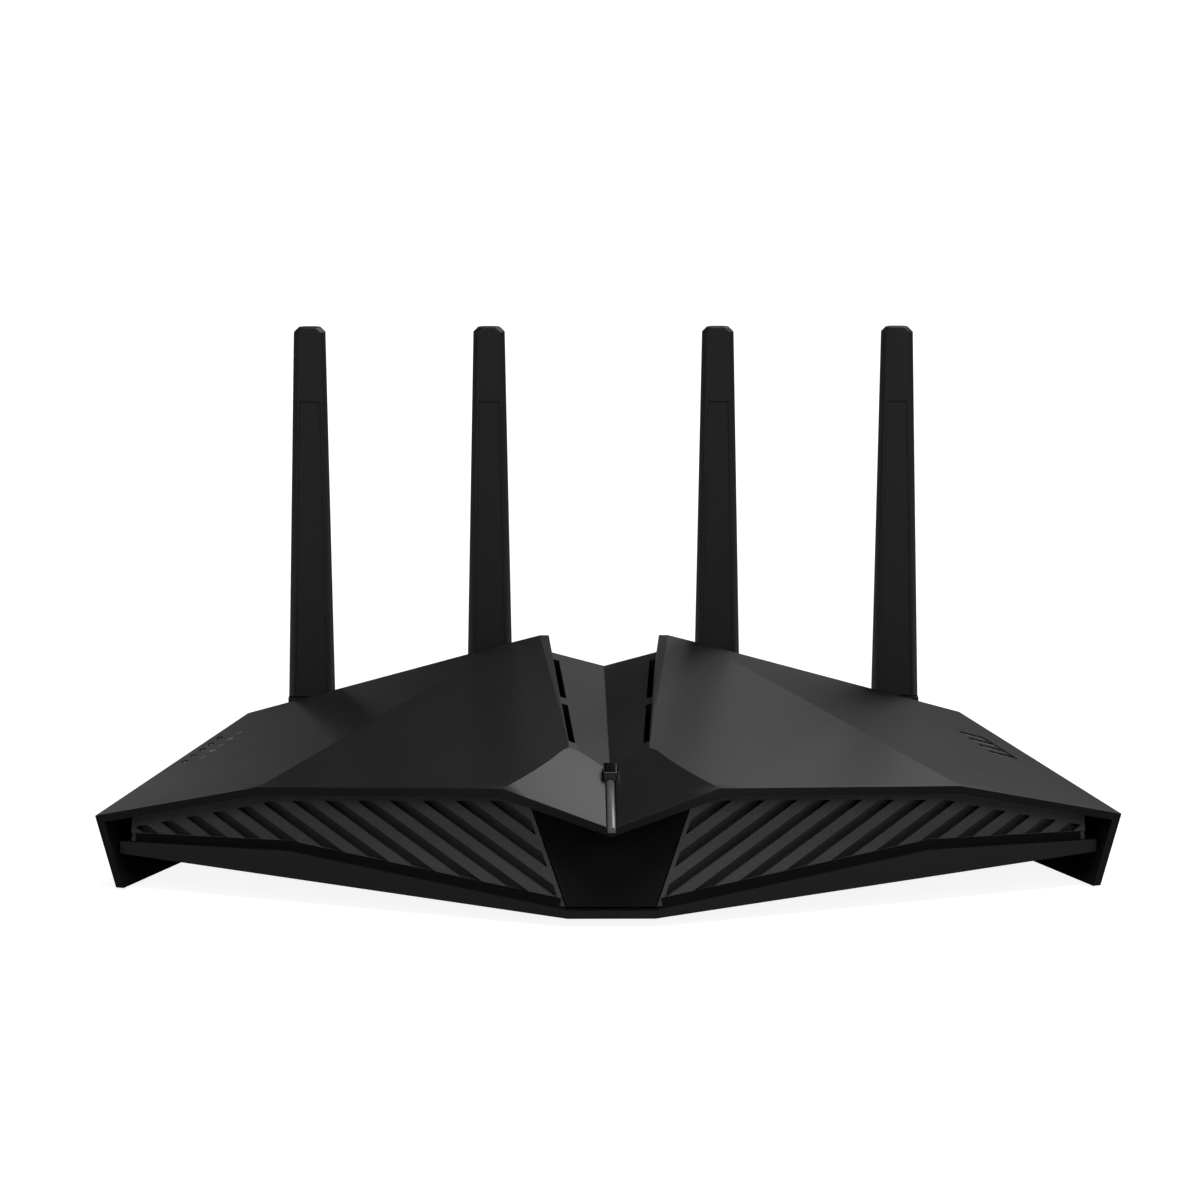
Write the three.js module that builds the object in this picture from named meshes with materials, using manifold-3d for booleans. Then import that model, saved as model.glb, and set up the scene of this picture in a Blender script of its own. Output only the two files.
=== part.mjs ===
// Desktop wireless router with four folding antennas.
// Millimetres. x runs across the case, y from the front to the rear and z up.
// The case is laid out with y = 0 at the cover's front corners and z = 0 at its lower
// edge; the finished group is shifted so that its origin is the bottom centre of its box.
import * as THREE from 'three';
import { ConvexGeometry } from 'three/addons/geometries/ConvexGeometry.js';
import { mergeVertices } from 'three/addons/utils/BufferGeometryUtils.js';
import Module from 'manifold-3d';

const wasm = await Module();
wasm.setup();

// ---- driving dimensions ------------------------------------------------------------

// Cover outline in plan
const CASE_WIDTH = 274.5;          // across the front corners
const REAR_WIDTH = 203.6;          // across the rear corners
const CASE_DEPTH = 108;            // front corners to rear edge
const NOSE_REACH = 57.5;           // nose tip ahead of the front corners

// Heights of the cover's corners
const FRONT_CORNER_HEIGHT = 19.5;
const REAR_CORNER_HEIGHT = 29.8;
const CREASE_FRONT_HEIGHT = 30.4;
const CREASE_REAR_HEIGHT = 49.6;
const BEAK_HEIGHT = 34.6;
const RIDGE_HEIGHT = 52.2;
const VALLEY_FOOT_HEIGHT = 47.3;
const VALLEY_HEIGHT = 43.3;
const PEAK_HEIGHT = 40.3;
const NOTCH_HEIGHT = 35.2;
const NOSE_HEIGHT = 26.1;

// Half-widths of the cover's creases, and how far behind the nose tip they start
const CREASE_FRONT_X = 92.7;
const CREASE_REAR_X = 28.3;
const BEAK_X = 28.2;
const RIDGE_OUTER_X = 18.3;
const RIDGE_INNER_X = 15.7;
const VALLEY_FOOT_X = 15;
const PEAK_X = 10.7;
const PEAK_BACK = 46.9;
const NOTCH_BACK = 35.1;
const TWIST_STEPS = 5;             // strips along each twisted main facet
const BEAK_STEPS = 2;              // of which lie beside the beak

// Walls and clearances
const COVER_WALL = 2.2;
const RIDGE_WALL = 1.8;
const SKIRT_WALL = 2.6;
const SKIRT_LEAN = 5.4;            // how far the skirt leans in below the front corner
const BOTTOM_WALL = 1.6;
const GAP = 0.3;                   // between two pieces that touch
const FIT = 0.4;                   // between the case halves and the panels

// Belly of the case
const BELLY_HEIGHT = 1.8;          // flat underside above the skirt's lower edge
const CHIN_HALF_WIDTH = 11.3;
const CHIN_BACK = 4;               // chin behind the nose tip
const KNEE_X = 84.6;
const KNEE_BACK = 37.4;
const KNEE_HEIGHT = 10.2;
const LIP_END_HEIGHT = 9.1;
const LIP_END_Y = 0.9;
const LIP_CHIN = 1.9;              // height of the lip at the chin
const LIP_SIDE = 3.3;              // height of the lip at its ends
const BELLY_FLAT_X = 85;
const BELLY_FLAT_BACK = 87;        // flat underside behind the nose tip, at its widest
const TRAY_REAR_GAP = 1.2;         // tray ends ahead of the cover's rear edge
const BELLY_VENT = { rows: 9, pitch: 5.4, front: 34, x: 30, length: 34, width: 2 };

// Front grilles and centre panel
const GRILLE_SETBACK = 5;
const GRILLE_LEAN = 0.22;          // backward lean for each unit of height
const GRILLE_WALL = 2;
const CENTRE_LOW_X = 12.5;
const CENTRE_SPREAD = 0.365;       // the centre panel's growth in half-width with height
const CENTRE_LOW_Z = 6;
const LOUVRE_PITCH = 6.15;
const LOUVRE_OPEN = 2.9;
const LOUVRE_SLOPE = 0.637;
const LOUVRE_COUNT = 15;
const LOUVRE_MARGIN = 1.3;
const GROOVE_HEIGHT = 1.9;         // dark groove between the lip and the louvres
const DIFFUSER_WALL = 1.2;
const LIGHT_BOARD = { length: 60, height: 7, wall: 1.2, behind: 6 };

// Rear panel and what comes through it; a spacing is the gap to the neighbour in the row
const PANEL_WALL = 2;
const PANEL_INSET = 3.6;           // outer face ahead of the cover's rear edge
const JACK = { width: 16, height: 13, depth: 22.5, mouth: 11.8, mouthHeight: 6.8, cavity: 14 };
const JACK_START_X = -44;          // centre of the first local-network jack
const LAN_JACKS = 4;
const USB = { spacing: 4.2, width: 14.4, height: 7, depth: 15, wall: 0.9, cavity: 11 };
const DC = { spacing: 5, width: 10, height: 11, depth: 14, bore: 3.1, pin: 1, cavity: 9 };
const POWER = { spacing: 4.5, width: 7, height: 7, travel: 2, proud: 3.2 };
const WPS = { spacing: 5.2, radius: 2.6, travel: 0.8, proud: 1 };
const RESET = { spacing: 8.3, radius: 1.1, travel: 0.6, proud: -1 };
const BUTTON_FLANGE = 1.2;

// Antennas
const ANTENNA_X = [-83.7, -32.6, 32.6, 83.7];
const ANTENNA_NAMES = ['outer_left', 'inner_left', 'inner_right', 'outer_right'];
const HINGE_DROP = 5.476;         // outer hinge axes below the cover's underside
const HINGE_BEHIND = 9.4;          // hinge axis behind the cover's rear edge
const ANTENNA_TOP = 139.6;
const BLADE = { foot: 6.7, tip: 4.45, footDepth: 4.3, tipDepth: 3, bevel: 1.3, start: 6.6 };
const BLADE_RECESS = { top: 118.5, margin: 2, depth: 0.4 };
const RADIATOR = { width: 4.2, length: 78, wall: 0.8, start: 20 };
const EAR_RADIUS = 5.6;
const TONGUE_RADIUS = 4.6;
const TONGUE_HALF = 2.5;
const PIN_RADIUS = 1.2;
const PIN_CLEARANCE = 0.2;
const SHAFT_RADIUS = 3.6;
const FLANGE = { outer: 6.2, wall: 2.2 };

// Board and what stands on it
const BOARD = { halfWidth: 73, front: 20, wall: 1.6, underside: 7 };
const PROCESSOR = { size: 19, height: 1.5, y: 52 };
const HEATSINK = { width: 62, depth: 46, base: 2.4, fins: 11, fin: 1.4, height: 9 };
const RADIO = { width: 30, depth: 26, height: 3.4, x: 52, y: 52 };
const STANDOFF = { radius: 2.4, x: 66, inset: 6 };

// Feet and screws
const FOOT = { radius: 7, drop: 0.6, frontX: 42, frontY: 2, rearX: 68, rearInset: 12 };
const SCREW = { head: 2.8, headHeight: 1.2, shank: 1.2, length: 12 };
const BOSS = { radius: 3.4, frontX: 58, frontY: 14, rearX: 77, rearInset: 36 };

// Nose light, status lights and emblem
const NOSE_PIPE = { halfWidth: 1.1, rise: 0.35, sink: 0.9 };
const NOSE_CLIP = { halfWidth: 1.8, length: 6.5, rise: 2.3 };
const VENT = { width: 1.7, spans: [[0.08, 0.5], [0.57, 0.96]] };
const STATUS = {
  count: 5, pitch: 6.3, first: 51, inset: 4.2, width: 1.6, length: 3.4, root: 1.3,
};
const EMBLEM = { bars: 4, pitch: 7.4, bar: 3.6, slant: 3.4, height: 7, y: 61, inset: 11.5, wall: 0.6 };

// ---- derived places ----------------------------------------------------------------

const HALF = CASE_WIDTH / 2;
const REAR_HALF = REAR_WIDTH / 2;
const NOSE_Y = -NOSE_REACH;
const PANEL_OUTER_Y = CASE_DEPTH - PANEL_INSET;
const PANEL_INNER_Y = PANEL_OUTER_Y - PANEL_WALL;
const JACK_PITCH = JACK.width + FIT;
const WAN_X = JACK_START_X + JACK_PITCH * LAN_JACKS;
const USB_X = WAN_X + JACK.width / 2 + USB.spacing + USB.width / 2;
const WPS_X = USB_X + USB.width / 2 + WPS.spacing + WPS.radius;
const RESET_X = WPS_X + WPS.radius + RESET.spacing + RESET.radius;
const DC_X = JACK_START_X - JACK.width / 2 - DC.spacing - DC.width / 2;
const POWER_X = DC_X - DC.width / 2 - POWER.spacing - POWER.width / 2;
const WING_SLOPE = (CREASE_REAR_HEIGHT - REAR_CORNER_HEIGHT) / (REAR_HALF - CREASE_REAR_X);
const HINGE_HEIGHT = REAR_CORNER_HEIGHT + WING_SLOPE * (REAR_HALF - ANTENNA_X.at(-1))
  - COVER_WALL - HINGE_DROP;
const TRAY_REAR_Y = CASE_DEPTH - TRAY_REAR_GAP;
const HINGE_Y = CASE_DEPTH + HINGE_BEHIND;
const FLOOR_TOP = BELLY_HEIGHT + BOTTOM_WALL;
const BOARD_TOP = BOARD.underside + BOARD.wall;
const JACK_BOTTOM = BOARD_TOP + GAP;
const SOCKET_Z = JACK_BOTTOM + JACK.height / 2;
const FLANGE_INNER = HINGE_HEIGHT - JACK_BOTTOM - JACK.height - GAP;   // clears the jacks
const SKY = 90;                    // above everything but the antennas
const WING_OVERRUN = 1.1;          // the wings run on past the side walls that trim them

const frontY = (x) => NOSE_Y * (1 - Math.abs(x) / HALF);
const mix = (a, b, t) => a.map((value, i) => value + (b[i] - value) * t);
const range = (count) => [...Array(count).keys()];

// ---- solids ------------------------------------------------------------------------

function solid(geometry) {
  geometry.deleteAttribute('normal');
  geometry.deleteAttribute('uv');
  const merged = mergeVertices(geometry, 1e-4);
  return new wasm.Manifold(new wasm.Mesh({
    numProp: 3,
    vertProperties: new Float32Array(merged.attributes.position.array),
    triVerts: new Uint32Array(merged.index.array),
  }));
}

function box(x0, x1, y0, y1, z0, z1) {
  const geometry = new THREE.BoxGeometry(x1 - x0, y1 - y0, z1 - z0);
  return solid(geometry.translate((x0 + x1) / 2, (y0 + y1) / 2, (z0 + z1) / 2));
}

function hull(points) {
  return solid(new ConvexGeometry(points.map((p) => new THREE.Vector3(...p))));
}

function cylinder(axis, radius, from, to, centre, sides = 24) {
  const geometry = new THREE.CylinderGeometry(radius, radius, to - from, sides);
  geometry.translate(0, (from + to) / 2, 0);
  if (axis === 'x') geometry.rotateZ(-Math.PI / 2).translate(0, centre[0], centre[1]);
  if (axis === 'y') geometry.translate(centre[0], 0, centre[1]);
  if (axis === 'z') geometry.rotateX(Math.PI / 2).translate(centre[0], centre[1], 0);
  return solid(geometry);
}

function outline(points) {
  return new THREE.Shape(points.map(([a, b]) => new THREE.Vector2(a, b)));
}

// A profile in x and z, extruded from y0 to y1
function extrudeY(points, y0, y1) {
  const geometry = new THREE.ExtrudeGeometry(outline(points), { depth: y1 - y0, bevelEnabled: false });
  return solid(geometry.rotateX(Math.PI / 2).translate(0, y1, 0));
}

const union = (shapes) => shapes.reduce((sum, shape) => sum.add(shape));
const cut = (shape, tools) => tools.reduce((rest, tool) => rest.subtract(tool), shape);
const mirrorX = (points) => points.map(([x, y, z]) => [0 - x, y, z]);

// ---- materials ---------------------------------------------------------------------

function finish(colour, roughness, metalness = 0) {
  return new THREE.MeshStandardMaterial({ color: colour, roughness, metalness });
}

const SATIN_BLACK = finish(0x2a2a2c, 0.55);
const RIB_BLACK = finish(0x333436, 0.5);
const DEEP_BLACK = finish(0x121213, 0.6);
const GLOSS_BLACK = finish(0x0a0a0b, 0.15);
const SMOKED = finish(0x202022, 0.3);
const RUBBER = finish(0x18181a, 0.9);
const BOARD_GREEN = finish(0x14402a, 0.5);
const STEEL = finish(0xb4b6ba, 0.3, 1);
const ALUMINIUM = finish(0xa8abb0, 0.4, 1);
const CLEAR = finish(0xd8dce0, 0.2);
const WAN_BLUE = finish(0x1c4fa0, 0.5);

const router = new THREE.Group();

function place(name, shape, material) {
  const { vertProperties, triVerts } = shape.getMesh();
  const geometry = new THREE.BufferGeometry();
  geometry.setAttribute('position', new THREE.BufferAttribute(vertProperties, 3));
  geometry.setIndex(new THREE.BufferAttribute(triVerts, 1));
  const mesh = new THREE.Mesh(geometry, material);
  mesh.name = name;
  router.add(mesh);
}

// ---- the cover's faceted surface ---------------------------------------------------

// Corners of one half of the cover; ridgeShift moves the ridge's inner wall outwards.
function coverCorners(ridgeShift) {
  return {
    corner: [HALF, 0, FRONT_CORNER_HEIGHT],
    rearCorner: [REAR_HALF, CASE_DEPTH, REAR_CORNER_HEIGHT],
    creaseFront: [CREASE_FRONT_X, frontY(CREASE_FRONT_X), CREASE_FRONT_HEIGHT],
    creaseRear: [CREASE_REAR_X, CASE_DEPTH, CREASE_REAR_HEIGHT],
    beak: [BEAK_X, frontY(BEAK_X), BEAK_HEIGHT],
    peak: [PEAK_X + ridgeShift, NOSE_Y + PEAK_BACK, PEAK_HEIGHT],
    ridgeOuter: [RIDGE_OUTER_X + ridgeShift, CASE_DEPTH, RIDGE_HEIGHT],
    ridgeInner: [RIDGE_INNER_X + ridgeShift, CASE_DEPTH, RIDGE_HEIGHT],
    valleyFoot: [VALLEY_FOOT_X + ridgeShift, CASE_DEPTH, VALLEY_FOOT_HEIGHT],
    valley: [0, CASE_DEPTH, VALLEY_HEIGHT],
    notch: [0, NOSE_Y + NOTCH_BACK, NOTCH_HEIGHT],
    nose: [0, NOSE_Y, NOSE_HEIGHT],
  };
}

// The main facet is a twisted strip between the crease on its outer side and, on its
// inner side, the beak edge and then the ridge. Both sides are divided into steps.
function facetSides(p) {
  const peakShare = PEAK_BACK / (NOSE_REACH + CASE_DEPTH);
  const ridgeSteps = TWIST_STEPS - BEAK_STEPS;
  const shares = range(TWIST_STEPS + 1).map((i) => (i <= BEAK_STEPS
    ? peakShare * i / BEAK_STEPS
    : peakShare + (1 - peakShare) * (i - BEAK_STEPS) / ridgeSteps));
  const inner = range(TWIST_STEPS + 1).map((i) => (i <= BEAK_STEPS
    ? mix(p.beak, p.peak, i / BEAK_STEPS)
    : mix(p.peak, p.ridgeOuter, (i - BEAK_STEPS) / ridgeSteps)));
  return { outer: shares.map((share) => mix(p.creaseFront, p.creaseRear, share)), inner };
}

// Triangles between one point and each step of a line
const fan = (point, line) => line.slice(1).map((end, i) => [point, line[i], end]);

function coverTriangles(ridgeShift) {
  const p = coverCorners(ridgeShift);
  const { outer, inner } = facetSides(p);
  const pastCorner = mix(p.creaseFront, p.corner, WING_OVERRUN);
  const pastRearCorner = mix(p.creaseRear, p.rearCorner, WING_OVERRUN);
  return [
    [pastCorner, p.creaseFront, pastRearCorner],
    ...fan(pastRearCorner, outer),
    ...range(TWIST_STEPS).flatMap((i) => [
      [outer[i], inner[i], inner[i + 1]],
      [outer[i], inner[i + 1], outer[i + 1]],
    ]),
    ...fan(p.nose, inner.slice(0, BEAK_STEPS + 1)),
    [p.nose, p.notch, p.peak],
    [p.notch, p.valley, p.peak],
    [p.peak, p.valley, p.valleyFoot],
    [p.peak, p.valleyFoot, p.ridgeInner],
    ...fan(p.ridgeInner, inner.slice(BEAK_STEPS)),
  ];
}

// The edges that only one facet has, in that facet's direction
function rimOf(facets) {
  const key = (a, b) => `${a.join()}>${b.join()}`;
  const edges = new Map(facets.flatMap(([a, b, c]) => [[a, b], [b, c], [c, a]])
    .map(([a, b]) => [key(a, b), [a, b]]));
  return [...edges.values()].filter(([a, b]) => !edges.has(key(b, a)));
}

// Level strips that carry the facets on past the front and rear edges
function pastEnds(facets, reach) {
  const shift = ([a, b]) => {
    if (a[1] === CASE_DEPTH && b[1] === CASE_DEPTH) return reach;
    const onFront = [a, b].every(([x, y]) => Math.abs(y - frontY(x)) < GAP);
    return onFront ? -reach : 0;
  };
  return rimOf(facets).filter((edge) => shift(edge) !== 0).flatMap(([a, b]) => {
    const [farA, farB] = [a, b].map(([x, y, z]) => [x, y + shift([a, b]), z]);
    return [facingUp([a, b, farB]), facingUp([a, farB, farA])];
  });
}

// Everything under the faceted surface, down to z = 0: the facets, their shadow on z = 0
// and a wall below each edge of the whole surface
function underCover(ridgeShift, reach) {
  const half = coverTriangles(ridgeShift);
  const cover = [...half, ...half.map(mirrorX)].map(facingUp);
  const facets = reach > 0 ? [...cover, ...pastEnds(cover, reach)] : cover;
  const down = ([x, y]) => [x, y, 0];
  const faces = [
    ...facets,
    ...facets.map(([a, b, c]) => [down(c), down(b), down(a)]),
    ...rimOf(facets).flatMap(([a, b]) => [[b, a, down(a)], [b, down(a), down(b)]]),
  ];
  const geometry = new THREE.BufferGeometry().setFromPoints(
    faces.flat().map((point) => new THREE.Vector3(...point)));
  return solid(geometry);
}

// The same facet with its corners in the order that faces upwards
function facingUp([a, b, c]) {
  const turn = (b[0] - a[0]) * (c[1] - a[1]) - (b[1] - a[1]) * (c[0] - a[0]);
  return turn > 0 ? [a, b, c] : [a, c, b];
}

// Outer face of a side wall: a plane through the cover's side edge that leans in below it
function sideX(y, z) {
  const lean = SKIRT_LEAN / FRONT_CORNER_HEIGHT;
  const rise = REAR_CORNER_HEIGHT - FRONT_CORNER_HEIGHT;
  const slope = (HALF - REAR_HALF + lean * rise) / CASE_DEPTH;
  return HALF - slope * y - lean * (FRONT_CORNER_HEIGHT - z);
}

// The space between the side walls' outer faces, with each face moved inwards
function betweenSides(inset) {
  const reach = 20;
  const half = [NOSE_Y - reach, CASE_DEPTH + reach].flatMap((y) => [-reach, SKY]
    .map((z) => [sideX(y, z) - inset, y, z]));
  return hull([...half, ...mirrorX(half)]);
}

const coverSolid = underCover(0, 0).intersect(betweenSides(0));
const hollow = underCover(RIDGE_WALL, 2);
const insideSides = (inset) => betweenSides(SKIRT_WALL + inset);
const coverHollow = hollow.translate([0, 0, -COVER_WALL]).intersect(insideSides(0));
const roomUnderRoof = (gap) => hollow.translate([0, 0, -COVER_WALL - gap]).intersect(insideSides(gap));

// ---- the belly ---------------------------------------------------------------------

// Outline of the tray in plan, from the chin round to the rear
function trayOutline() {
  const inside = SKIRT_WALL + FIT + 0.4;
  const frontX = sideX(LIP_END_Y, LIP_END_HEIGHT) - inside;
  const rearX = sideX(TRAY_REAR_Y, LIP_END_HEIGHT) - inside;
  return [
    [CHIN_HALF_WIDTH, NOSE_Y + CHIN_BACK, BELLY_HEIGHT],
    [KNEE_X, NOSE_Y + KNEE_BACK, KNEE_HEIGHT],
    [frontX, LIP_END_Y, LIP_END_HEIGHT],
    [rearX, TRAY_REAR_Y, LIP_END_HEIGHT],
  ];
}

// The tray's outline moved inwards by a distance, each edge parallel to itself
function insetOutline(distance) {
  const half = trayOutline();
  const loop = [...half, ...[...half].reverse().map(([x, y, z]) => [-x, y, z])];
  return loop.map((point, i) => {
    const before = loop[(i + loop.length - 1) % loop.length];
    const after = loop[(i + 1) % loop.length];
    const a = new THREE.Vector2(point[0] - before[0], point[1] - before[1]).normalize();
    const b = new THREE.Vector2(after[0] - point[0], after[1] - point[1]).normalize();
    const stretch = distance / (1 + a.dot(b));
    return [point[0] - (a.y + b.y) * stretch, point[1] + (a.x + b.x) * stretch, point[2]];
  });
}

// The belly's solid, open-ended upwards, moved inwards and upwards by a wall
function belly(wall) {
  const rim = insetOutline(wall).map(([x, y, z]) => [x, y, z + wall]);
  const flat = [[BELLY_FLAT_X, NOSE_Y + BELLY_FLAT_BACK], [BELLY_FLAT_X, TRAY_REAR_Y]]
    .flatMap(([x, y]) => [[x - wall, y, BELLY_HEIGHT + wall], [wall - x, y, BELLY_HEIGHT + wall]]);
  const top = rim.map(([x, y]) => [x, y, SKY]);
  return hull([...rim, ...flat, ...top]);
}

// Height of the belly's lower front edge at a distance from the middle
function lipFoot(x) {
  const points = trayOutline();
  const distance = Math.abs(x);
  const [low, knee, end] = points;
  if (distance <= low[0]) return low[2];
  if (distance <= knee[0]) return low[2] + (knee[2] - low[2]) * (distance - low[0]) / (knee[0] - low[0]);
  return knee[2] + (end[2] - knee[2]) * (distance - knee[0]) / (end[0] - knee[0]);
}

const lipHeight = (x) => LIP_CHIN + (LIP_SIDE - LIP_CHIN) * Math.min(1, Math.abs(x) / KNEE_X);

// The space above a line that follows the lip, at a height over its foot
function aboveLip(extra) {
  const stops = [-HALF, -KNEE_X, -CHIN_HALF_WIDTH, CHIN_HALF_WIDTH, KNEE_X, HALF];
  const line = stops.map((x) => [x, lipFoot(x) + lipHeight(x) + extra]);
  return extrudeY([...line, [HALF, SKY + 10], [-HALF, SKY + 10]], NOSE_Y - 10, CASE_DEPTH + 10);
}

// ---- case pieces -------------------------------------------------------------------

const bossPlaces = [
  [-BOSS.frontX, BOSS.frontY], [BOSS.frontX, BOSS.frontY],
  [-BOSS.rearX, CASE_DEPTH - BOSS.rearInset], [BOSS.rearX, CASE_DEPTH - BOSS.rearInset],
];

// Long air slots along the foot of each ridge
function valleyVents() {
  const p = coverCorners(0);
  const slots = [];
  for (const [from, to] of VENT.spans) {
    const rear = mix(p.valleyFoot, p.peak, from);
    const front = mix(p.valleyFoot, p.peak, to);
    const wall = 0.15;
    const plan = [rear, front].flatMap(([x, y]) => [[x - wall, y], [x - wall - VENT.width, y]]);
    const points = plan.flatMap(([x, y]) => [[x, y, NOSE_HEIGHT], [x, y, SKY]]);
    slots.push(hull(points), hull(mirrorX(points)));
  }
  return slots;
}

// A bar that follows the nose crease, from a place behind the tip to a place before it
function alongNose(halfWidth, from, to, below, above) {
  const p = coverCorners(0);
  const ends = [from, to].map((back) => mix(p.nose, p.notch, back / NOTCH_BACK));
  return hull(ends.flatMap(([, y, z]) => [-halfWidth, halfWidth]
    .flatMap((x) => [[x, y, z - below], [x, y, z + above]])));
}

const clipFront = NOTCH_BACK - NOSE_CLIP.length;

function noseChannels() {
  const width = NOSE_PIPE.halfWidth + GAP;
  const depth = NOSE_PIPE.sink + GAP;
  return [
    alongNose(width, -1, clipFront + 1, depth, 9),
    alongNose(NOSE_CLIP.halfWidth + GAP, clipFront, NOTCH_BACK + GAP, depth, 9),
  ];
}

const statusPlaces = range(STATUS.count).map((i) => {
  const y = STATUS.first + STATUS.pitch * i;
  return [-(HALF - (HALF - REAR_HALF) * y / CASE_DEPTH - STATUS.inset), y];
});

// The status windows, from just under the wing's skin upwards
function statusPegs(shrink) {
  const halfWidth = STATUS.width / 2 - shrink;
  const halfLength = STATUS.length / 2 - shrink;
  return union(statusPlaces.map(([x, y]) => {
    const edgeHeight = FRONT_CORNER_HEIGHT
      + (REAR_CORNER_HEIGHT - FRONT_CORNER_HEIGHT) * y / CASE_DEPTH;
    return box(x - halfWidth, x + halfWidth, y - halfLength, y + halfLength,
      edgeHeight - COVER_WALL - STATUS.root, SKY);
  }));
}

// The emblem's outline, laid flat on the right wing and running along its side edge
function emblemSolid(margin, low, high) {
  const p = coverCorners(0);
  const a = new THREE.Vector3(...p.corner);
  const alongEdge = new THREE.Vector3(...p.rearCorner).sub(a).normalize();
  const inward = new THREE.Vector3(...p.creaseFront).sub(a);
  const normal = new THREE.Vector3().crossVectors(alongEdge, inward).normalize();
  const across = new THREE.Vector3().crossVectors(normal, alongEdge);
  const share = EMBLEM.y / CASE_DEPTH;
  const centre = a.clone().lerp(new THREE.Vector3(...p.rearCorner), share)
    .addScaledVector(across, EMBLEM.inset);
  const basis = new THREE.Matrix4().makeBasis(alongEdge, across, normal).setPosition(centre);
  const length = EMBLEM.pitch * (EMBLEM.bars - 1);
  const bars = range(EMBLEM.bars).map((i) => {
    const x = EMBLEM.pitch * i - length / 2;
    return [
      [x - EMBLEM.bar / 2 - margin, -EMBLEM.height / 2 - margin],
      [x + EMBLEM.bar / 2 + margin, -EMBLEM.height / 2 - margin],
      [x + EMBLEM.bar / 2 + EMBLEM.slant + margin, EMBLEM.height / 2 + margin],
      [x - EMBLEM.bar / 2 + EMBLEM.slant - margin, EMBLEM.height / 2 + margin],
    ];
  });
  const base = -EMBLEM.height / 2;
  const rail = [
    [-length / 2 - margin, base - margin], [length / 2 + margin, base - margin],
    [length / 2 + margin, base + 1.2 + margin], [-length / 2 - margin, base + 1.2 + margin],
  ];
  return union([...bars, rail].map((points) => {
    const geometry = new THREE.ExtrudeGeometry(outline(points), { depth: high - low, bevelEnabled: false });
    return solid(geometry.translate(0, 0, low).applyMatrix4(basis));
  }));
}

function topCover() {
  const bosses = union(bossPlaces.map((spot) => cylinder(
    'z', BOSS.radius, FLOOR_TOP + FIT, SKY, spot, 20)));
  const posts = bosses.intersect(hollow.translate([0, 0, -COVER_WALL / 2]));
  const bores = bossPlaces.map(([x, y]) => cylinder(
    'z', SCREW.shank + PIN_CLEARANCE, 0, BELLY_HEIGHT + SCREW.length + 2, [x, y], 16));
  const shell = coverSolid.subtract(coverHollow).add(posts);
  return cut(shell, [
    ...bores, ...valleyVents(), ...noseChannels(), statusPegs(0),
    emblemSolid(GAP, -EMBLEM.wall, 5),
  ]);
}

function footPlaces() {
  const rearY = CASE_DEPTH - FOOT.rearInset;
  return {
    front_left: [-FOOT.frontX, FOOT.frontY], front_right: [FOOT.frontX, FOOT.frontY],
    rear_left: [-FOOT.rearX, rearY], rear_right: [FOOT.rearX, rearY],
  };
}

function standoffPlaces() {
  const rear = PANEL_INNER_Y - STANDOFF.inset;
  return [-STANDOFF.x, STANDOFF.x].flatMap((x) => [[x, BOARD.front + STANDOFF.inset], [x, rear]]);
}

function bottomShell() {
  const tray = belly(0).subtract(belly(BOTTOM_WALL)).subtract(aboveLip(0));
  const standoffs = union(standoffPlaces().map(([x, y]) => cylinder(
    'z', STANDOFF.radius, BELLY_HEIGHT + 0.5, BOARD.underside - GAP, [x, y], 16)));
  const holes = bossPlaces.flatMap(([x, y]) => [
    cylinder('z', SCREW.shank + PIN_CLEARANCE, 0, 10, [x, y], 16),
    cylinder('z', SCREW.head + GAP, 0, BELLY_HEIGHT + SCREW.headHeight / 2, [x, y], 20),
  ]);
  const slots = range(BELLY_VENT.rows).flatMap((i) => [-1, 1].map((side) => {
    const y = BELLY_VENT.front + BELLY_VENT.pitch * i;
    const x = side * BELLY_VENT.x;
    return box(x - BELLY_VENT.length / 2, x + BELLY_VENT.length / 2, y, y + BELLY_VENT.width,
      0, FLOOR_TOP + 1);
  }));
  return cut(tray.add(standoffs), [...holes, ...slots, rearOpening()]);
}

// The tray is open at the rear, where the socket panel stands.
function rearOpening() {
  const reach = 10;
  const halfWidth = trayOutline().at(-1)[0] - 2 * BOTTOM_WALL;
  return belly(BOTTOM_WALL).translate([0, reach, 0])
    .intersect(box(-halfWidth, halfWidth, PANEL_INNER_Y - FIT, CASE_DEPTH + reach, 0, SKY));
}

function caseScrew([x, y]) {
  const headBottom = BELLY_HEIGHT - SCREW.headHeight / 2 - 0.2;
  const head = cylinder('z', SCREW.head, headBottom, headBottom + SCREW.headHeight * 0.75, [x, y], 20);
  const shank = cylinder('z', SCREW.shank, headBottom, headBottom + SCREW.length, [x, y], 16);
  const slot = (turn) => box(x - (turn ? 0.4 : 1.7), x + (turn ? 0.4 : 1.7),
    y - (turn ? 1.7 : 0.4), y + (turn ? 1.7 : 0.4), 0, headBottom + 0.5);
  return cut(head.add(shank), [slot(true), slot(false)]);
}

function foot([x, y]) {
  const top = BELLY_HEIGHT - GAP;
  const profile = [[0, -FOOT.drop], [FOOT.radius - 0.8, -FOOT.drop], [FOOT.radius, -FOOT.drop + 0.8],
    [FOOT.radius, top], [0, top]];
  const geometry = new THREE.LatheGeometry(profile.map(([r, z]) => new THREE.Vector2(r, z)), 28);
  return solid(geometry.rotateX(Math.PI / 2).translate(x, y, 0));
}

// ---- front grilles -----------------------------------------------------------------

const grilleY = (x, z) => frontY(x) + GRILLE_SETBACK + GRILLE_LEAN * (z - CENTRE_LOW_Z);
const centreX = (z) => CENTRE_LOW_X + CENTRE_SPREAD * (z - CENTRE_LOW_Z);

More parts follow.
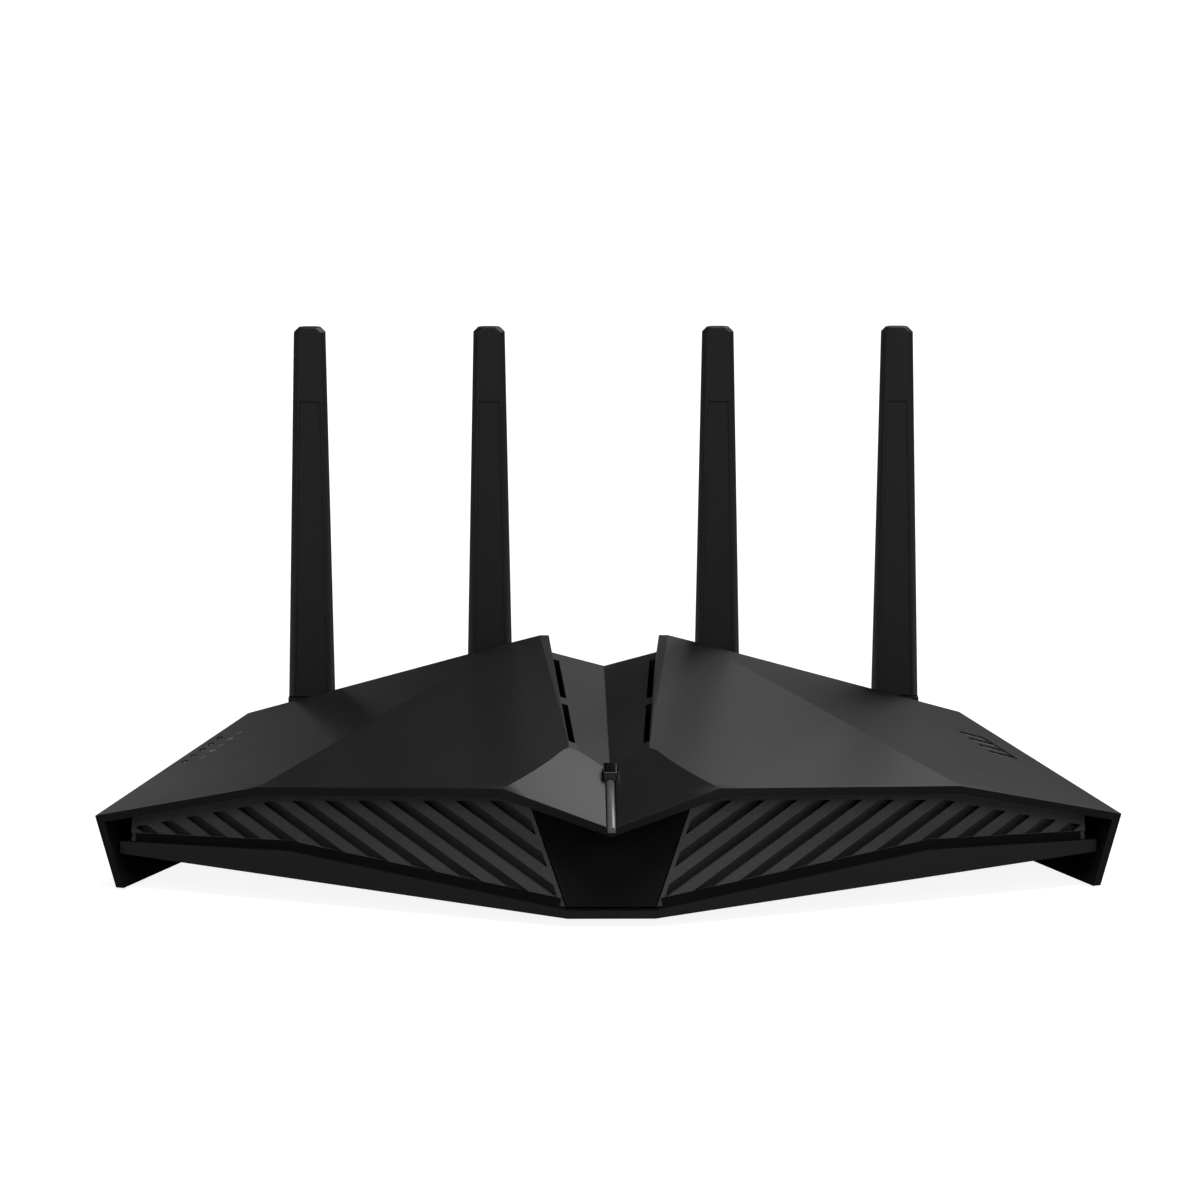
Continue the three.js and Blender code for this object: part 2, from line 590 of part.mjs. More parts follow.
// A leaning slab behind one grille face, between two depths measured from that face
function grilleSlab(near, far, innerGap) {
  const corners = [0, 60].flatMap((z) => [
    [Math.max(0, centreX(z) + innerGap), z], [HALF, z],
  ]);
  return hull(corners.flatMap(([x, z]) => [[x, grilleY(x, z) + near, z], [x, grilleY(x, z) + far, z]]));
}

const grilleRoom = () => roomUnderRoof(FIT).intersect(belly(BOTTOM_WALL + FIT));

// Slanting louvre openings, kept clear of the panel's inner and lower edges
function louvres() {
  const depthFrom = -3;
  const depthTo = GRILLE_WALL + 3;
  const lowX = CENTRE_LOW_X + 2;
  const openings = range(LOUVRE_COUNT).map((i) => {
    const rise = CENTRE_LOW_Z - LOUVRE_PITCH * (i - 3);
    const lower = (x) => rise + LOUVRE_SLOPE * (x - lowX);
    const points = [lowX - 4, HALF].flatMap((x) => [[x, lower(x)], [x, lower(x) + LOUVRE_OPEN]]);
    return hull(points.flatMap(([x, z]) => [
      [x, grilleY(x, z) + depthFrom, z], [x, grilleY(x, z) + depthTo, z]]));
  });
  return union(openings)
    .intersect(grilleSlab(depthFrom, depthTo, LOUVRE_MARGIN))
    .intersect(aboveLip(GROOVE_HEIGHT))
    .intersect(hollow.translate([0, 0, -COVER_WALL - 4]))
    .intersect(insideSides(4));
}

// The mirror image of a solid about the middle plane of the case
const flip = (shape) => shape.mirror([1, 0, 0]);

function grille() {
  const groove = cut(grilleSlab(-2, 0.8, -GAP), [aboveLip(GROOVE_HEIGHT)]);
  return cut(grilleSlab(0, GRILLE_WALL, GAP / 2).intersect(grilleRoom()), [louvres(), groove]);
}

function diffuser() {
  const near = GRILLE_WALL + GAP;
  return grilleSlab(near, near + DIFFUSER_WALL, 2).intersect(grilleRoom())
    .intersect(insideSides(6));
}

function lightBoard() {
  const near = LIGHT_BOARD.behind;
  const middle = (centreX(20) + HALF) / 2;
  const room = box(middle - LIGHT_BOARD.length / 2, middle + LIGHT_BOARD.length / 2,
    NOSE_Y, CASE_DEPTH, KNEE_HEIGHT + 3, KNEE_HEIGHT + 3 + LIGHT_BOARD.height);
  return grilleSlab(near, near + LIGHT_BOARD.wall, 4).intersect(room).intersect(grilleRoom());
}

function centrePanel() {
  const face = (z) => grilleY(centreX(z), z);
  const points = [0, 60].flatMap((z) => [-1, 1].flatMap((side) => {
    const x = side * Math.max(1, centreX(z) - GAP / 2);
    return [[x, face(z), z], [x, face(z) + GRILLE_WALL, z]];
  }));
  return hull(points).intersect(grilleRoom());
}

// ---- rear panel and sockets --------------------------------------------------------

const lanPlaces = range(LAN_JACKS).map((i) => JACK_START_X + JACK_PITCH * i);
const socketFront = PANEL_OUTER_Y + GAP;

function rearPanel() {
  const slab = box(-REAR_HALF, REAR_HALF, PANEL_INNER_Y, PANEL_OUTER_Y, 0, SKY)
    .intersect(roomUnderRoof(FIT)).intersect(belly(BOTTOM_WALL + FIT));
  const window = (x, width, height, z) => box(x - width / 2 - GAP, x + width / 2 + GAP,
    PANEL_INNER_Y - 1, PANEL_OUTER_Y + 1, z - height / 2 - GAP, z + height / 2 + GAP);
  const hole = (x, z, radius) => cylinder('y', radius, PANEL_INNER_Y - 1, PANEL_OUTER_Y + 1, [x, z]);
  return cut(slab, [
    ...[...lanPlaces, WAN_X].map((x) => window(x, JACK.width, JACK.height, SOCKET_Z)),
    window(USB_X, USB.width, USB.height, SOCKET_Z),
    window(DC_X, DC.width, DC.height, SOCKET_Z),
    window(POWER_X, POWER.width, POWER.height, SOCKET_Z),
    hole(WPS_X, SOCKET_Z, WPS.radius + GAP),
    hole(RESET_X, SOCKET_Z, RESET.radius + GAP),
    ...ANTENNA_X.map((x) => hole(x, HINGE_HEIGHT, SHAFT_RADIUS + GAP)),
  ]);
}

function networkJack(x) {
  const half = JACK.mouth / 2;
  const body = box(x - JACK.width / 2, x + JACK.width / 2,
    socketFront - JACK.depth, socketFront, JACK_BOTTOM, JACK_BOTTOM + JACK.height);
  const mouthLow = SOCKET_Z - JACK.mouthHeight / 2 + 1;
  const cavity = box(x - half, x + half, socketFront - JACK.cavity, socketFront + 1,
    mouthLow, mouthLow + JACK.mouthHeight);
  const latch = box(x - 3, x + 3, socketFront - JACK.cavity, socketFront + 1,
    mouthLow - 1.6, mouthLow + 1);
  const catchSlot = box(x - 1.7, x + 1.7, socketFront - JACK.cavity, socketFront + 1,
    mouthLow - 2.8, mouthLow);
  return cut(body, [cavity, latch, catchSlot]);
}

function usbPort() {
  const halfWidth = USB.width / 2;
  const halfHeight = USB.height / 2;
  const body = box(USB_X - halfWidth, USB_X + halfWidth, socketFront - USB.depth, socketFront,
    SOCKET_Z - halfHeight, SOCKET_Z + halfHeight);
  const cavity = box(USB_X - halfWidth + USB.wall, USB_X + halfWidth - USB.wall,
    socketFront - USB.cavity, socketFront + 1,
    SOCKET_Z - halfHeight + USB.wall, SOCKET_Z + halfHeight - USB.wall);
  const tongue = box(USB_X - halfWidth + 1.6, USB_X + halfWidth - 1.6,
    socketFront - USB.cavity - 1, socketFront - 1.5, SOCKET_Z + 0.1, SOCKET_Z + 1.7);
  return body.subtract(cavity).add(tongue);
}

function powerInlet() {
  const body = box(DC_X - DC.width / 2, DC_X + DC.width / 2, socketFront - DC.depth, socketFront,
    SOCKET_Z - DC.height / 2, SOCKET_Z + DC.height / 2);
  const bore = cylinder('y', DC.bore, socketFront - DC.cavity, socketFront + 1, [DC_X, SOCKET_Z]);
  const pin = cylinder('y', DC.pin, socketFront - DC.cavity - 1, socketFront - 1, [DC_X, SOCKET_Z], 16);
  return body.subtract(bore).add(pin);
}

// Buttons reach through the panel and stop on a flange behind it.
const flangeBack = PANEL_INNER_Y - GAP - BUTTON_FLANGE;

function powerButton() {
  const halfWidth = POWER.width / 2;
  const halfHeight = POWER.height / 2;
  const cap = box(POWER_X - halfWidth, POWER_X + halfWidth, flangeBack, PANEL_OUTER_Y + POWER.proud,
    SOCKET_Z - halfHeight, SOCKET_Z + halfHeight);
  const flange = box(POWER_X - halfWidth - 1, POWER_X + halfWidth + 1,
    flangeBack, flangeBack + BUTTON_FLANGE,
    SOCKET_Z - halfHeight - 1, SOCKET_Z + halfHeight + 1);
  return cap.add(flange);
}

function roundButton(button, x) {
  const at = [x, SOCKET_Z];
  const cap = cylinder('y', button.radius, flangeBack, PANEL_OUTER_Y + button.proud, at);
  const flange = cylinder('y', button.radius + 1, flangeBack, flangeBack + BUTTON_FLANGE, at);
  return cap.add(flange);
}

function switchBody(button, x, width, depth) {
  const front = flangeBack - button.travel - GAP;
  return box(x - width / 2, x + width / 2, front - depth, front,
    JACK_BOTTOM, SOCKET_Z + width / 2);
}

// ---- board -------------------------------------------------------------------------

function mainBoard() {
  const plate = box(-BOARD.halfWidth, BOARD.halfWidth, BOARD.front, PANEL_INNER_Y - FIT - 0.4,
    BOARD.underside, BOARD_TOP);
  const corners = [-1, 1].map((side) => box(
    side * BOARD.halfWidth - 3, side * BOARD.halfWidth + 3, BOARD.front - 1, BOARD.front + 3, 0, SKY));
  return cut(plate, corners);
}

function boardBlock(x, y, width, depth, height) {
  return box(x - width / 2, x + width / 2, y - depth / 2, y + depth / 2, JACK_BOTTOM, JACK_BOTTOM + height);
}

function heatsink() {
  const low = JACK_BOTTOM + PROCESSOR.height + GAP;
  const y0 = PROCESSOR.y - HEATSINK.depth / 2;
  const base = box(-HEATSINK.width / 2, HEATSINK.width / 2, y0, y0 + HEATSINK.depth,
    low, low + HEATSINK.base);
  const pitch = (HEATSINK.width - HEATSINK.fin) / (HEATSINK.fins - 1);
  const fins = range(HEATSINK.fins).map((i) => {
    const x = -HEATSINK.width / 2 + pitch * i;
    return box(x, x + HEATSINK.fin, y0, y0 + HEATSINK.depth, low + 1, low + HEATSINK.height);
  });
  return union([base, ...fins]);
}

// ---- antennas ----------------------------------------------------------------------

const bladeHalf = (z) => BLADE.foot
  + (BLADE.tip - BLADE.foot) * (z - HINGE_HEIGHT) / (ANTENNA_TOP - HINGE_HEIGHT);
const bladeDepth = (z) => BLADE.footDepth
  + (BLADE.tipDepth - BLADE.footDepth) * (z - HINGE_HEIGHT) / (ANTENNA_TOP - HINGE_HEIGHT);

// Half a blade: side -1 is the front half with its bevels, side 1 is the back half.
function bladeHalfShell(x, side, start) {
  const cornerCut = 1.4;
  const levels = [[start, 0], [ANTENNA_TOP - cornerCut, 0], [ANTENNA_TOP, cornerCut]];
  const points = levels.flatMap(([z, narrow]) => [-1, 1].flatMap((edge) => {
    const half = bladeHalf(z) - narrow;
    const depth = bladeDepth(z);
    return [
      [x + edge * half, HINGE_Y + side * GAP / 2, z],
      [x + edge * half, HINGE_Y + side * depth * 0.45, z],
      [x + edge * (half - BLADE.bevel), HINGE_Y + side * depth, z],
    ];
  }));
  return hull(points);
}

function antennaFrontShell(x) {
  const shell = bladeHalfShell(x, -1, HINGE_HEIGHT + BLADE.start);
  const recess = hull([HINGE_HEIGHT, BLADE_RECESS.top].flatMap((z) => [-1, 1].flatMap((edge) => {
    const half = bladeHalf(z) - BLADE_RECESS.margin;
    const face = HINGE_Y - bladeDepth(z);
    return [[x + edge * half, face + BLADE_RECESS.depth, z], [x + edge * half, face - 2, z]];
  })));
  const z0 = HINGE_HEIGHT + RADIATOR.start;
  const pocket = box(x - RADIATOR.width / 2 - GAP, x + RADIATOR.width / 2 + GAP,
    HINGE_Y - RADIATOR.wall - 2 * GAP, HINGE_Y + 1, z0 - GAP, z0 + RADIATOR.length + GAP);
  return cut(shell, [recess, pocket]);
}

function antennaBackShell(x) {
  const blade = bladeHalfShell(x, 1, HINGE_HEIGHT);
  const halfWidth = bladeHalf(HINGE_HEIGHT);
  const rootTop = HINGE_HEIGHT + BLADE.start - GAP;
  const root = box(x - halfWidth, x + halfWidth, HINGE_Y - BLADE.footDepth, HINGE_Y + BLADE.footDepth,
    HINGE_HEIGHT, rootTop);
  const ears = cylinder('x', EAR_RADIUS, x - halfWidth, x + halfWidth, [HINGE_Y, HINGE_HEIGHT], 28);
  const fork = TONGUE_HALF + GAP;
  const slotTop = TONGUE_RADIUS + 0.5;
  const slot = cylinder('x', slotTop, x - fork, x + fork, [HINGE_Y, HINGE_HEIGHT], 28)
    .add(box(x - fork, x + fork, HINGE_Y - 8, HINGE_Y + 8, HINGE_HEIGHT - 8, HINGE_HEIGHT))
    .add(box(x - fork, x + fork, HINGE_Y - 8, HINGE_Y, HINGE_HEIGHT - 8, HINGE_HEIGHT + slotTop));
  const bore = cylinder('x', PIN_RADIUS + PIN_CLEARANCE, x - halfWidth - 1, x + halfWidth + 1,
    [HINGE_Y, HINGE_HEIGHT], 20);
  return cut(union([blade, root, ears]), [slot, bore]);
}

function antennaKnuckle(x) {
  const at = [x, HINGE_HEIGHT];
  const shaft = cylinder('y', SHAFT_RADIUS, PANEL_INNER_Y - FIT - FLANGE.wall, CASE_DEPTH + 1, at);
  const inner = cylinder('y', FLANGE_INNER, PANEL_INNER_Y - FIT - FLANGE.wall, PANEL_INNER_Y - FIT, at);
  const outer = cylinder('y', FLANGE.outer, CASE_DEPTH + 0.6, CASE_DEPTH + 0.6 + FLANGE.wall, at);
  const tongue = cylinder('x', TONGUE_RADIUS, x - TONGUE_HALF, x + TONGUE_HALF, [HINGE_Y, HINGE_HEIGHT], 28)
    .add(box(x - TONGUE_HALF, x + TONGUE_HALF, CASE_DEPTH + 1, HINGE_Y,
      HINGE_HEIGHT - TONGUE_RADIUS, HINGE_HEIGHT + TONGUE_RADIUS));
  const bore = cylinder('x', PIN_RADIUS + PIN_CLEARANCE, x - 8, x + 8, [HINGE_Y, HINGE_HEIGHT], 20);
  return union([shaft, inner, outer, tongue]).subtract(bore);
}

function hingePin(x) {
  const half = bladeHalf(HINGE_HEIGHT) - 0.2;
  return cylinder('x', PIN_RADIUS, x - half, x + half, [HINGE_Y, HINGE_HEIGHT], 20);
}

function radiator(x) {
  const z0 = HINGE_HEIGHT + RADIATOR.start;
  return box(x - RADIATOR.width / 2, x + RADIATOR.width / 2,
    HINGE_Y - RADIATOR.wall - GAP, HINGE_Y - GAP, z0, z0 + RADIATOR.length);
}

// ---- assembly ----------------------------------------------------------------------

function addCase() {
  place('top_cover', topCover(), SATIN_BLACK);
  place('bottom_shell', bottomShell(), SATIN_BLACK);
  place('rear_io_panel', rearPanel(), SATIN_BLACK);
  place('front_centre_panel', centrePanel(), DEEP_BLACK);
  const sides = { right: (shape) => shape, left: flip };
  for (const [side, turn] of Object.entries(sides)) {
    place(`${side}_grille`, turn(grille()), RIB_BLACK);
    place(`${side}_light_diffuser`, turn(diffuser()), SMOKED);
    place(`${side}_light_board`, turn(lightBoard()), BOARD_GREEN);
  }
  for (const [name, spot] of Object.entries(footPlaces())) {
    place(`foot_${name}`, foot(spot), RUBBER);
  }
  bossPlaces.forEach((spot, i) => place(`case_screw_${i + 1}`, caseScrew(spot), STEEL));
}

function addTrim() {
  place('nose_light_pipe',
    alongNose(NOSE_PIPE.halfWidth, -0.8, clipFront - GAP, NOSE_PIPE.sink, NOSE_PIPE.rise), CLEAR);
  place('nose_clip', alongNose(NOSE_CLIP.halfWidth, clipFront + GAP, NOTCH_BACK, NOSE_PIPE.sink,
    NOSE_CLIP.rise), GLOSS_BLACK);
  const bar = box(statusPlaces[0][0] - 6, statusPlaces.at(-1)[0] + 6, STATUS.first - 4,
    STATUS.first + STATUS.pitch * (STATUS.count - 1) + 4, FRONT_CORNER_HEIGHT - 4, SKY);
  const low = hollow.translate([0, 0, -COVER_WALL - GAP - 2]);
  const strip = bar.intersect(roomUnderRoof(GAP)).subtract(low).intersect(insideSides(GAP + 0.2));
  const pegs = statusPegs(GAP).intersect(coverSolid.translate([0, 0, -0.1])).subtract(low);
  place('status_light_guide', strip.subtract(insideSides(10)).add(pegs), CLEAR);
  place('emblem', emblemSolid(0, -GAP, 0.25), GLOSS_BLACK);
}

function addElectronics() {
  place('main_board', mainBoard(), BOARD_GREEN);
  place('processor',
    boardBlock(0, PROCESSOR.y, PROCESSOR.size, PROCESSOR.size, PROCESSOR.height), DEEP_BLACK);
  place('processor_heatsink', heatsink(), ALUMINIUM);
  place('left_radio_shield', boardBlock(-RADIO.x, RADIO.y, RADIO.width, RADIO.depth, RADIO.height), STEEL);
  place('right_radio_shield', boardBlock(RADIO.x, RADIO.y, RADIO.width, RADIO.depth, RADIO.height), STEEL);
  lanPlaces.forEach((x, i) => place(`lan_jack_${i + 1}`, networkJack(x), DEEP_BLACK));
  place('wan_jack', networkJack(WAN_X), WAN_BLUE);
  place('usb_port', usbPort(), STEEL);
  place('dc_inlet', powerInlet(), DEEP_BLACK);
  place('power_button', powerButton(), DEEP_BLACK);
  place('power_switch', switchBody(POWER, POWER_X, 8, 11), DEEP_BLACK);
  place('wps_button', roundButton(WPS, WPS_X), DEEP_BLACK);
  place('wps_switch', switchBody(WPS, WPS_X, 6, 4), DEEP_BLACK);
  place('reset_button', roundButton(RESET, RESET_X), DEEP_BLACK);
  place('reset_switch', switchBody(RESET, RESET_X, 5, 4), DEEP_BLACK);
}

function addAntennas() {
  ANTENNA_X.forEach((x, i) => {
    const name = ANTENNA_NAMES[i];
    place(`${name}_antenna_front`, antennaFrontShell(x), SATIN_BLACK);
    place(`${name}_antenna_back`, antennaBackShell(x), SATIN_BLACK);
    place(`${name}_antenna_radiator`, radiator(x), BOARD_GREEN);
    place(`${name}_antenna_knuckle`, antennaKnuckle(x), SATIN_BLACK);
    place(`${name}_antenna_pin`, hingePin(x), STEEL);
  });
}

addCase();
addTrim();
addElectronics();
addAntennas();

const extent = new THREE.Box3().setFromObject(router);
const middle = extent.getCenter(new THREE.Vector3());
router.position.set(0, -middle.y, -extent.min.z);

export default router;
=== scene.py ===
"""Looks of the desktop wireless router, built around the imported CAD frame.

Lengths named in capitals are millimetres in the CAD's layout, where y = 0 is at the
cover's front corners and z = 0 at the lower edge of its side walls. The stage, lights and
camera at the end are in metres in the row frame.
"""
import math

import bmesh
import bpy
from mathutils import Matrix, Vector


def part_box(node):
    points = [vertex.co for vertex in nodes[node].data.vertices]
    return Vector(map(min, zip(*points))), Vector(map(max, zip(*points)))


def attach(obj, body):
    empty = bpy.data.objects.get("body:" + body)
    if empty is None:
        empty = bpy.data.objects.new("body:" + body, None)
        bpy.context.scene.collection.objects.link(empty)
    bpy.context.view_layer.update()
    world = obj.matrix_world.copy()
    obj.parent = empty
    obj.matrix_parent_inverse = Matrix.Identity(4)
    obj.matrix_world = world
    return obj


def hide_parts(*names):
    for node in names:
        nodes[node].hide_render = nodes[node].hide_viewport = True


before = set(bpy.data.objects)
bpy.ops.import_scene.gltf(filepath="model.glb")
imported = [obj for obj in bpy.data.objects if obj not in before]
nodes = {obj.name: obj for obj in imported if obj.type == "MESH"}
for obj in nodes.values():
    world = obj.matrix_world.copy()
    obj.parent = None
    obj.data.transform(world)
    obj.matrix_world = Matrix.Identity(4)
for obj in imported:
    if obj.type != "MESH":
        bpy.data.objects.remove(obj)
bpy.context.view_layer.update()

MM = 0.001
SIDES = (-1, 1)

# Cover, as the CAD has it. The corners are the right half's, and the left half mirrors them.
CASE_DEPTH = 108
NOSE_REACH = 57.5
FRONT_CORNER_HEIGHT = 19.5
REAR_CORNER_HEIGHT = 29.8
REAR_HALF = 101.8
CREASE_FRONT = {"x": 92.7, "z": 30.4}
CREASE_REAR = {"x": 28.3, "z": 49.6}
PEAK = {"x": 10.7, "y": -10.6, "z": 40.3}
RIDGE_HEIGHT = 52.2
RIDGE_OUTER_X = 18.3
RIDGE_INNER_X = 15.7
VALLEY_FOOT = {"x": 15, "z": 47.3}
VALLEY_HEIGHT = 43.3
NOTCH = {"y": -22.4, "z": 35.2}
NOSE_HEIGHT = 26.1
PEAK_SHARE = 0.732      # place of the peak on the line from the ridge's rear to the front
BEAK_SHARE = 0.761      # place of the beak on the main facet's front edge
SKIRT_LEAN = 5.4
COVER_WALL = 2.2
SKIRT_WALL = 2.6
RIDGE_WALL = 1.8

# Mesh of the cover
BEAK_ROWS = 8
RIDGE_ROWS = 18
FACET_COLUMNS = 8
MERGE_GAP = 0.02
COVER_ROUNDING = 0.4

cover_low, cover_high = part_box("top_cover")
HALF = cover_high.x / MM


def at(x, y, z):
    """A point of the layout frame, in metres in the row frame."""
    return Vector((x * MM, cover_high.y + (y - CASE_DEPTH) * MM, cover_low.z + z * MM))


def front_y(x):
    """The cover's front edge in plan."""
    return -NOSE_REACH * (1 - abs(x) / HALF)


# ---- materials -----------------------------------------------------------------------

NOISE_LOW, NOISE_HIGH = 0.3, 0.7        # most of a noise texture's values lie between these
CLOUD_SCALE = 38
CLOUD_SHARE = 0.12
GLOSS_SPREAD = 0.012
GRAIN_DEPTH = 0.05
LINE_DEPTH = 0.03
SOLDER_MASK = (0.006, 0.045, 0.02)
SOLDER_MASK_PALE = (0.009, 0.06, 0.028)
TRACK_GREEN = (0.025, 0.13, 0.055)


def shader(name, colour, roughness, metallic=0.0, ior=1.5, coat=0.0, transmission=0.0):
    """A new material with one Principled shader; returns the material, its tree and shader."""
    material = bpy.data.materials.new(name)
    material.use_nodes = True
    tree = material.node_tree
    principled = tree.nodes["Principled BSDF"]
    principled.inputs["Base Color"].default_value = (*colour, 1)
    principled.inputs["Roughness"].default_value = roughness
    principled.inputs["Metallic"].default_value = metallic
    principled.inputs["IOR"].default_value = ior
    principled.inputs["Coat Weight"].default_value = coat
    principled.inputs["Transmission Weight"].default_value = transmission
    return material, tree, principled


def noise(tree, scale, detail=3.0, rough=0.55):
    """Noise over the object's own coordinates, with the scale in cells for each metre."""
    place = tree.nodes.new("ShaderNodeTexCoord")
    texture = tree.nodes.new("ShaderNodeTexNoise")
    texture.inputs["Scale"].default_value = scale
    texture.inputs["Detail"].default_value = detail
    texture.inputs["Roughness"].default_value = rough
    tree.links.new(place.outputs["Object"], texture.inputs["Vector"])
    return texture.outputs["Fac"]


def ramp(tree, value, low, high):
    """A noise value turned into a colour between the two."""
    node = tree.nodes.new("ShaderNodeValToRGB")
    node.color_ramp.elements[0].position = NOISE_LOW
    node.color_ramp.elements[1].position = NOISE_HIGH
    node.color_ramp.elements[0].color = (*low, 1)
    node.color_ramp.elements[1].color = (*high, 1)
    tree.links.new(value, node.inputs["Fac"])
    return node.outputs["Color"]


def spread(tree, value, low, high):
    """A noise value turned into a number between the two."""
    node = tree.nodes.new("ShaderNodeMapRange")
    node.inputs["From Min"].default_value = NOISE_LOW
    node.inputs["From Max"].default_value = NOISE_HIGH
    node.inputs["To Min"].default_value = low
    node.inputs["To Max"].default_value = high
    tree.links.new(value, node.inputs["Value"])
    return node.outputs["Result"]


def add_bump(tree, principled, height, strength, distance):
    """Surface relief from a height, with the distance in millimetres."""
    node = tree.nodes.new("ShaderNodeBump")
    node.inputs["Strength"].default_value = strength
    node.inputs["Distance"].default_value = distance * MM
    tree.links.new(height, node.inputs["Height"])
    tree.links.new(node.outputs["Normal"], principled.inputs["Normal"])


def moulded(name, colour, roughness, grain=2600, strength=0.35, spread_share=0.22, coat=0.0,
            specular=0.5):
    """Moulded plastic: a fine spark-eroded grain, faint cloudy flow marks, uneven gloss."""
    material, tree, principled = shader(name, colour, roughness, coat=coat)
    principled.inputs["Specular IOR Level"].default_value = specular
    fine = noise(tree, grain, 2.0)
    cloud = noise(tree, CLOUD_SCALE, 4.0)
    mixed = tree.nodes.new("ShaderNodeMath")
    mixed.operation = "MULTIPLY_ADD"
    mixed.inputs[1].default_value = 1 - CLOUD_SHARE
    faint_cloud = tree.nodes.new("ShaderNodeMath")
    faint_cloud.operation = "MULTIPLY"
    faint_cloud.inputs[1].default_value = CLOUD_SHARE
    tree.links.new(cloud, faint_cloud.inputs[0])
    tree.links.new(fine, mixed.inputs[0])
    tree.links.new(faint_cloud.outputs[0], mixed.inputs[2])
    low = [c * (1 - spread_share) for c in colour]
    high = [c * (1 + spread_share) for c in colour]
    tree.links.new(ramp(tree, mixed.outputs[0], low, high), principled.inputs["Base Color"])
    gloss = spread(tree, cloud, roughness - GLOSS_SPREAD, roughness + GLOSS_SPREAD)
    tree.links.new(gloss, principled.inputs["Roughness"])
    add_bump(tree, principled, fine, strength, GRAIN_DEPTH)
    return material


def brushed(name, colour, roughness, stretch=(60, 2400, 2400)):
    """Metal with fine drawn lines along x."""
    material, tree, principled = shader(name, colour, roughness, metallic=1.0)
    place = tree.nodes.new("ShaderNodeTexCoord")
    mapping = tree.nodes.new("ShaderNodeMapping")
    mapping.inputs["Scale"].default_value = stretch
    lines = tree.nodes.new("ShaderNodeTexNoise")
    lines.inputs["Scale"].default_value = 1.0
    lines.inputs["Detail"].default_value = 2.0
    tree.links.new(place.outputs["Object"], mapping.inputs["Vector"])
    tree.links.new(mapping.outputs["Vector"], lines.inputs["Vector"])
    value = lines.outputs["Fac"]
    low = [c * 0.8 for c in colour]
    tree.links.new(ramp(tree, value, low, colour), principled.inputs["Base Color"])
    tree.links.new(spread(tree, value, roughness - 0.06, roughness + 0.08),
                   principled.inputs["Roughness"])
    add_bump(tree, principled, value, 0.15, LINE_DEPTH)
    return material


def circuit(name):
    """Solder mask with a faint pattern of tracks under it."""
    material, tree, principled = shader(name, SOLDER_MASK, 0.35, coat=0.3)
    place = tree.nodes.new("ShaderNodeTexCoord")
    cells = tree.nodes.new("ShaderNodeTexBrick")
    cells.inputs["Scale"].default_value = 260
    cells.inputs["Mortar Size"].default_value = 0.035
    cells.inputs["Color1"].default_value = (*SOLDER_MASK, 1)
    cells.inputs["Color2"].default_value = (*SOLDER_MASK_PALE, 1)
    cells.inputs["Mortar"].default_value = (*TRACK_GREEN, 1)
    tree.links.new(place.outputs["Object"], cells.inputs["Vector"])
    tree.links.new(cells.outputs["Color"], principled.inputs["Base Color"])
    add_bump(tree, principled, noise(tree, 900), 0.15, LINE_DEPTH)
    return material


def clear_plastic(name, colour, roughness):
    """Clouded light guide: translucent, with a faint flow pattern."""
    material, tree, principled = shader(name, colour, roughness, ior=1.49, transmission=0.25)
    cloud = noise(tree, 160, 2.0)
    low = [c * 0.92 for c in colour]
    tree.links.new(ramp(tree, cloud, low, colour), principled.inputs["Base Color"])
    tree.links.new(spread(tree, cloud, roughness - 0.03, roughness + 0.03),
                   principled.inputs["Roughness"])
    add_bump(tree, principled, cloud, 0.05, 0.01)
    return material


MATERIALS = {
    "satin_black": moulded("satin_black", (0.0092, 0.0092, 0.0096), 0.4),
    "antenna_black": moulded("antenna_black", (0.021, 0.021, 0.0215), 0.46, strength=0.3),
    "rib_black": moulded("rib_black", (0.085, 0.085, 0.086), 0.44),
    "slat_black": moulded("slat_black", (0.03, 0.03, 0.0303), 0.5),
    "deep_black": moulded("deep_black", (0.0018, 0.0018, 0.0019), 0.6, strength=0.2,
                           specular=0.22),
    # Painted shade: a darker copy of the satin black for the cover's forward-facing rims, which
    # the light barely reaches.
    "front_shade_black": moulded("front_shade_black", (0.0032, 0.0032, 0.0033), 0.5, specular=0.3),
    "gloss_black": moulded("gloss_black", (0.004, 0.004, 0.0042), 0.16, strength=0.05, coat=0.5),
    "smoked_lens": moulded("smoked_lens", (0.005, 0.005, 0.0055), 0.3, strength=0.1),
    "foot_rubber": moulded("foot_rubber", (0.012, 0.012, 0.012), 0.82, grain=1500, strength=0.5),
    "circuit_board": circuit("circuit_board"),
    "steel": brushed("steel", (0.55, 0.56, 0.58), 0.3),
    "gold": brushed("gold", (0.83, 0.58, 0.22), 0.28),
    "heatsink_aluminium": brushed("heatsink_aluminium", (0.5, 0.51, 0.53), 0.4),
    "clear_light_guide": clear_plastic("clear_light_guide", (0.24, 0.245, 0.25), 0.25),
    "icon_print": moulded("icon_print", (0.34, 0.34, 0.35), 0.5, strength=0.1),
    "socket_blue": moulded("socket_blue", (0.012, 0.06, 0.24), 0.4, strength=0.15),
}


def dress(obj, name):
    """Gives the object one material in place of its own."""
    obj.data.materials.clear()
    obj.data.materials.append(MATERIALS[name])


# ---- mesh helpers --------------------------------------------------------------------

def mix(a, b, share):
    """The number or point at this share of the way from a to b."""
    return a + (b - a) * share


def new_piece(name, bm, material, body):
    """An object made from the bmesh, riding on a body."""
    mesh = bpy.data.meshes.new(name)
    bm.to_mesh(mesh)
    bm.free()
    obj = bpy.data.objects.new(name, mesh)
    bpy.context.scene.collection.objects.link(obj)
    dress(obj, material)
    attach(obj, body)
    return obj


def smooth(mesh, angle):
    """Shades the mesh smooth, apart from edges sharper than the angle in degrees."""
    mesh.shade_smooth()
    mesh.set_sharp_from_angle(angle=math.radians(angle))


def weigh_normals(obj):
    weighted = obj.modifiers.new("even_shading", "WEIGHTED_NORMAL")
    weighted.keep_sharp = True
    weighted.weight = 60


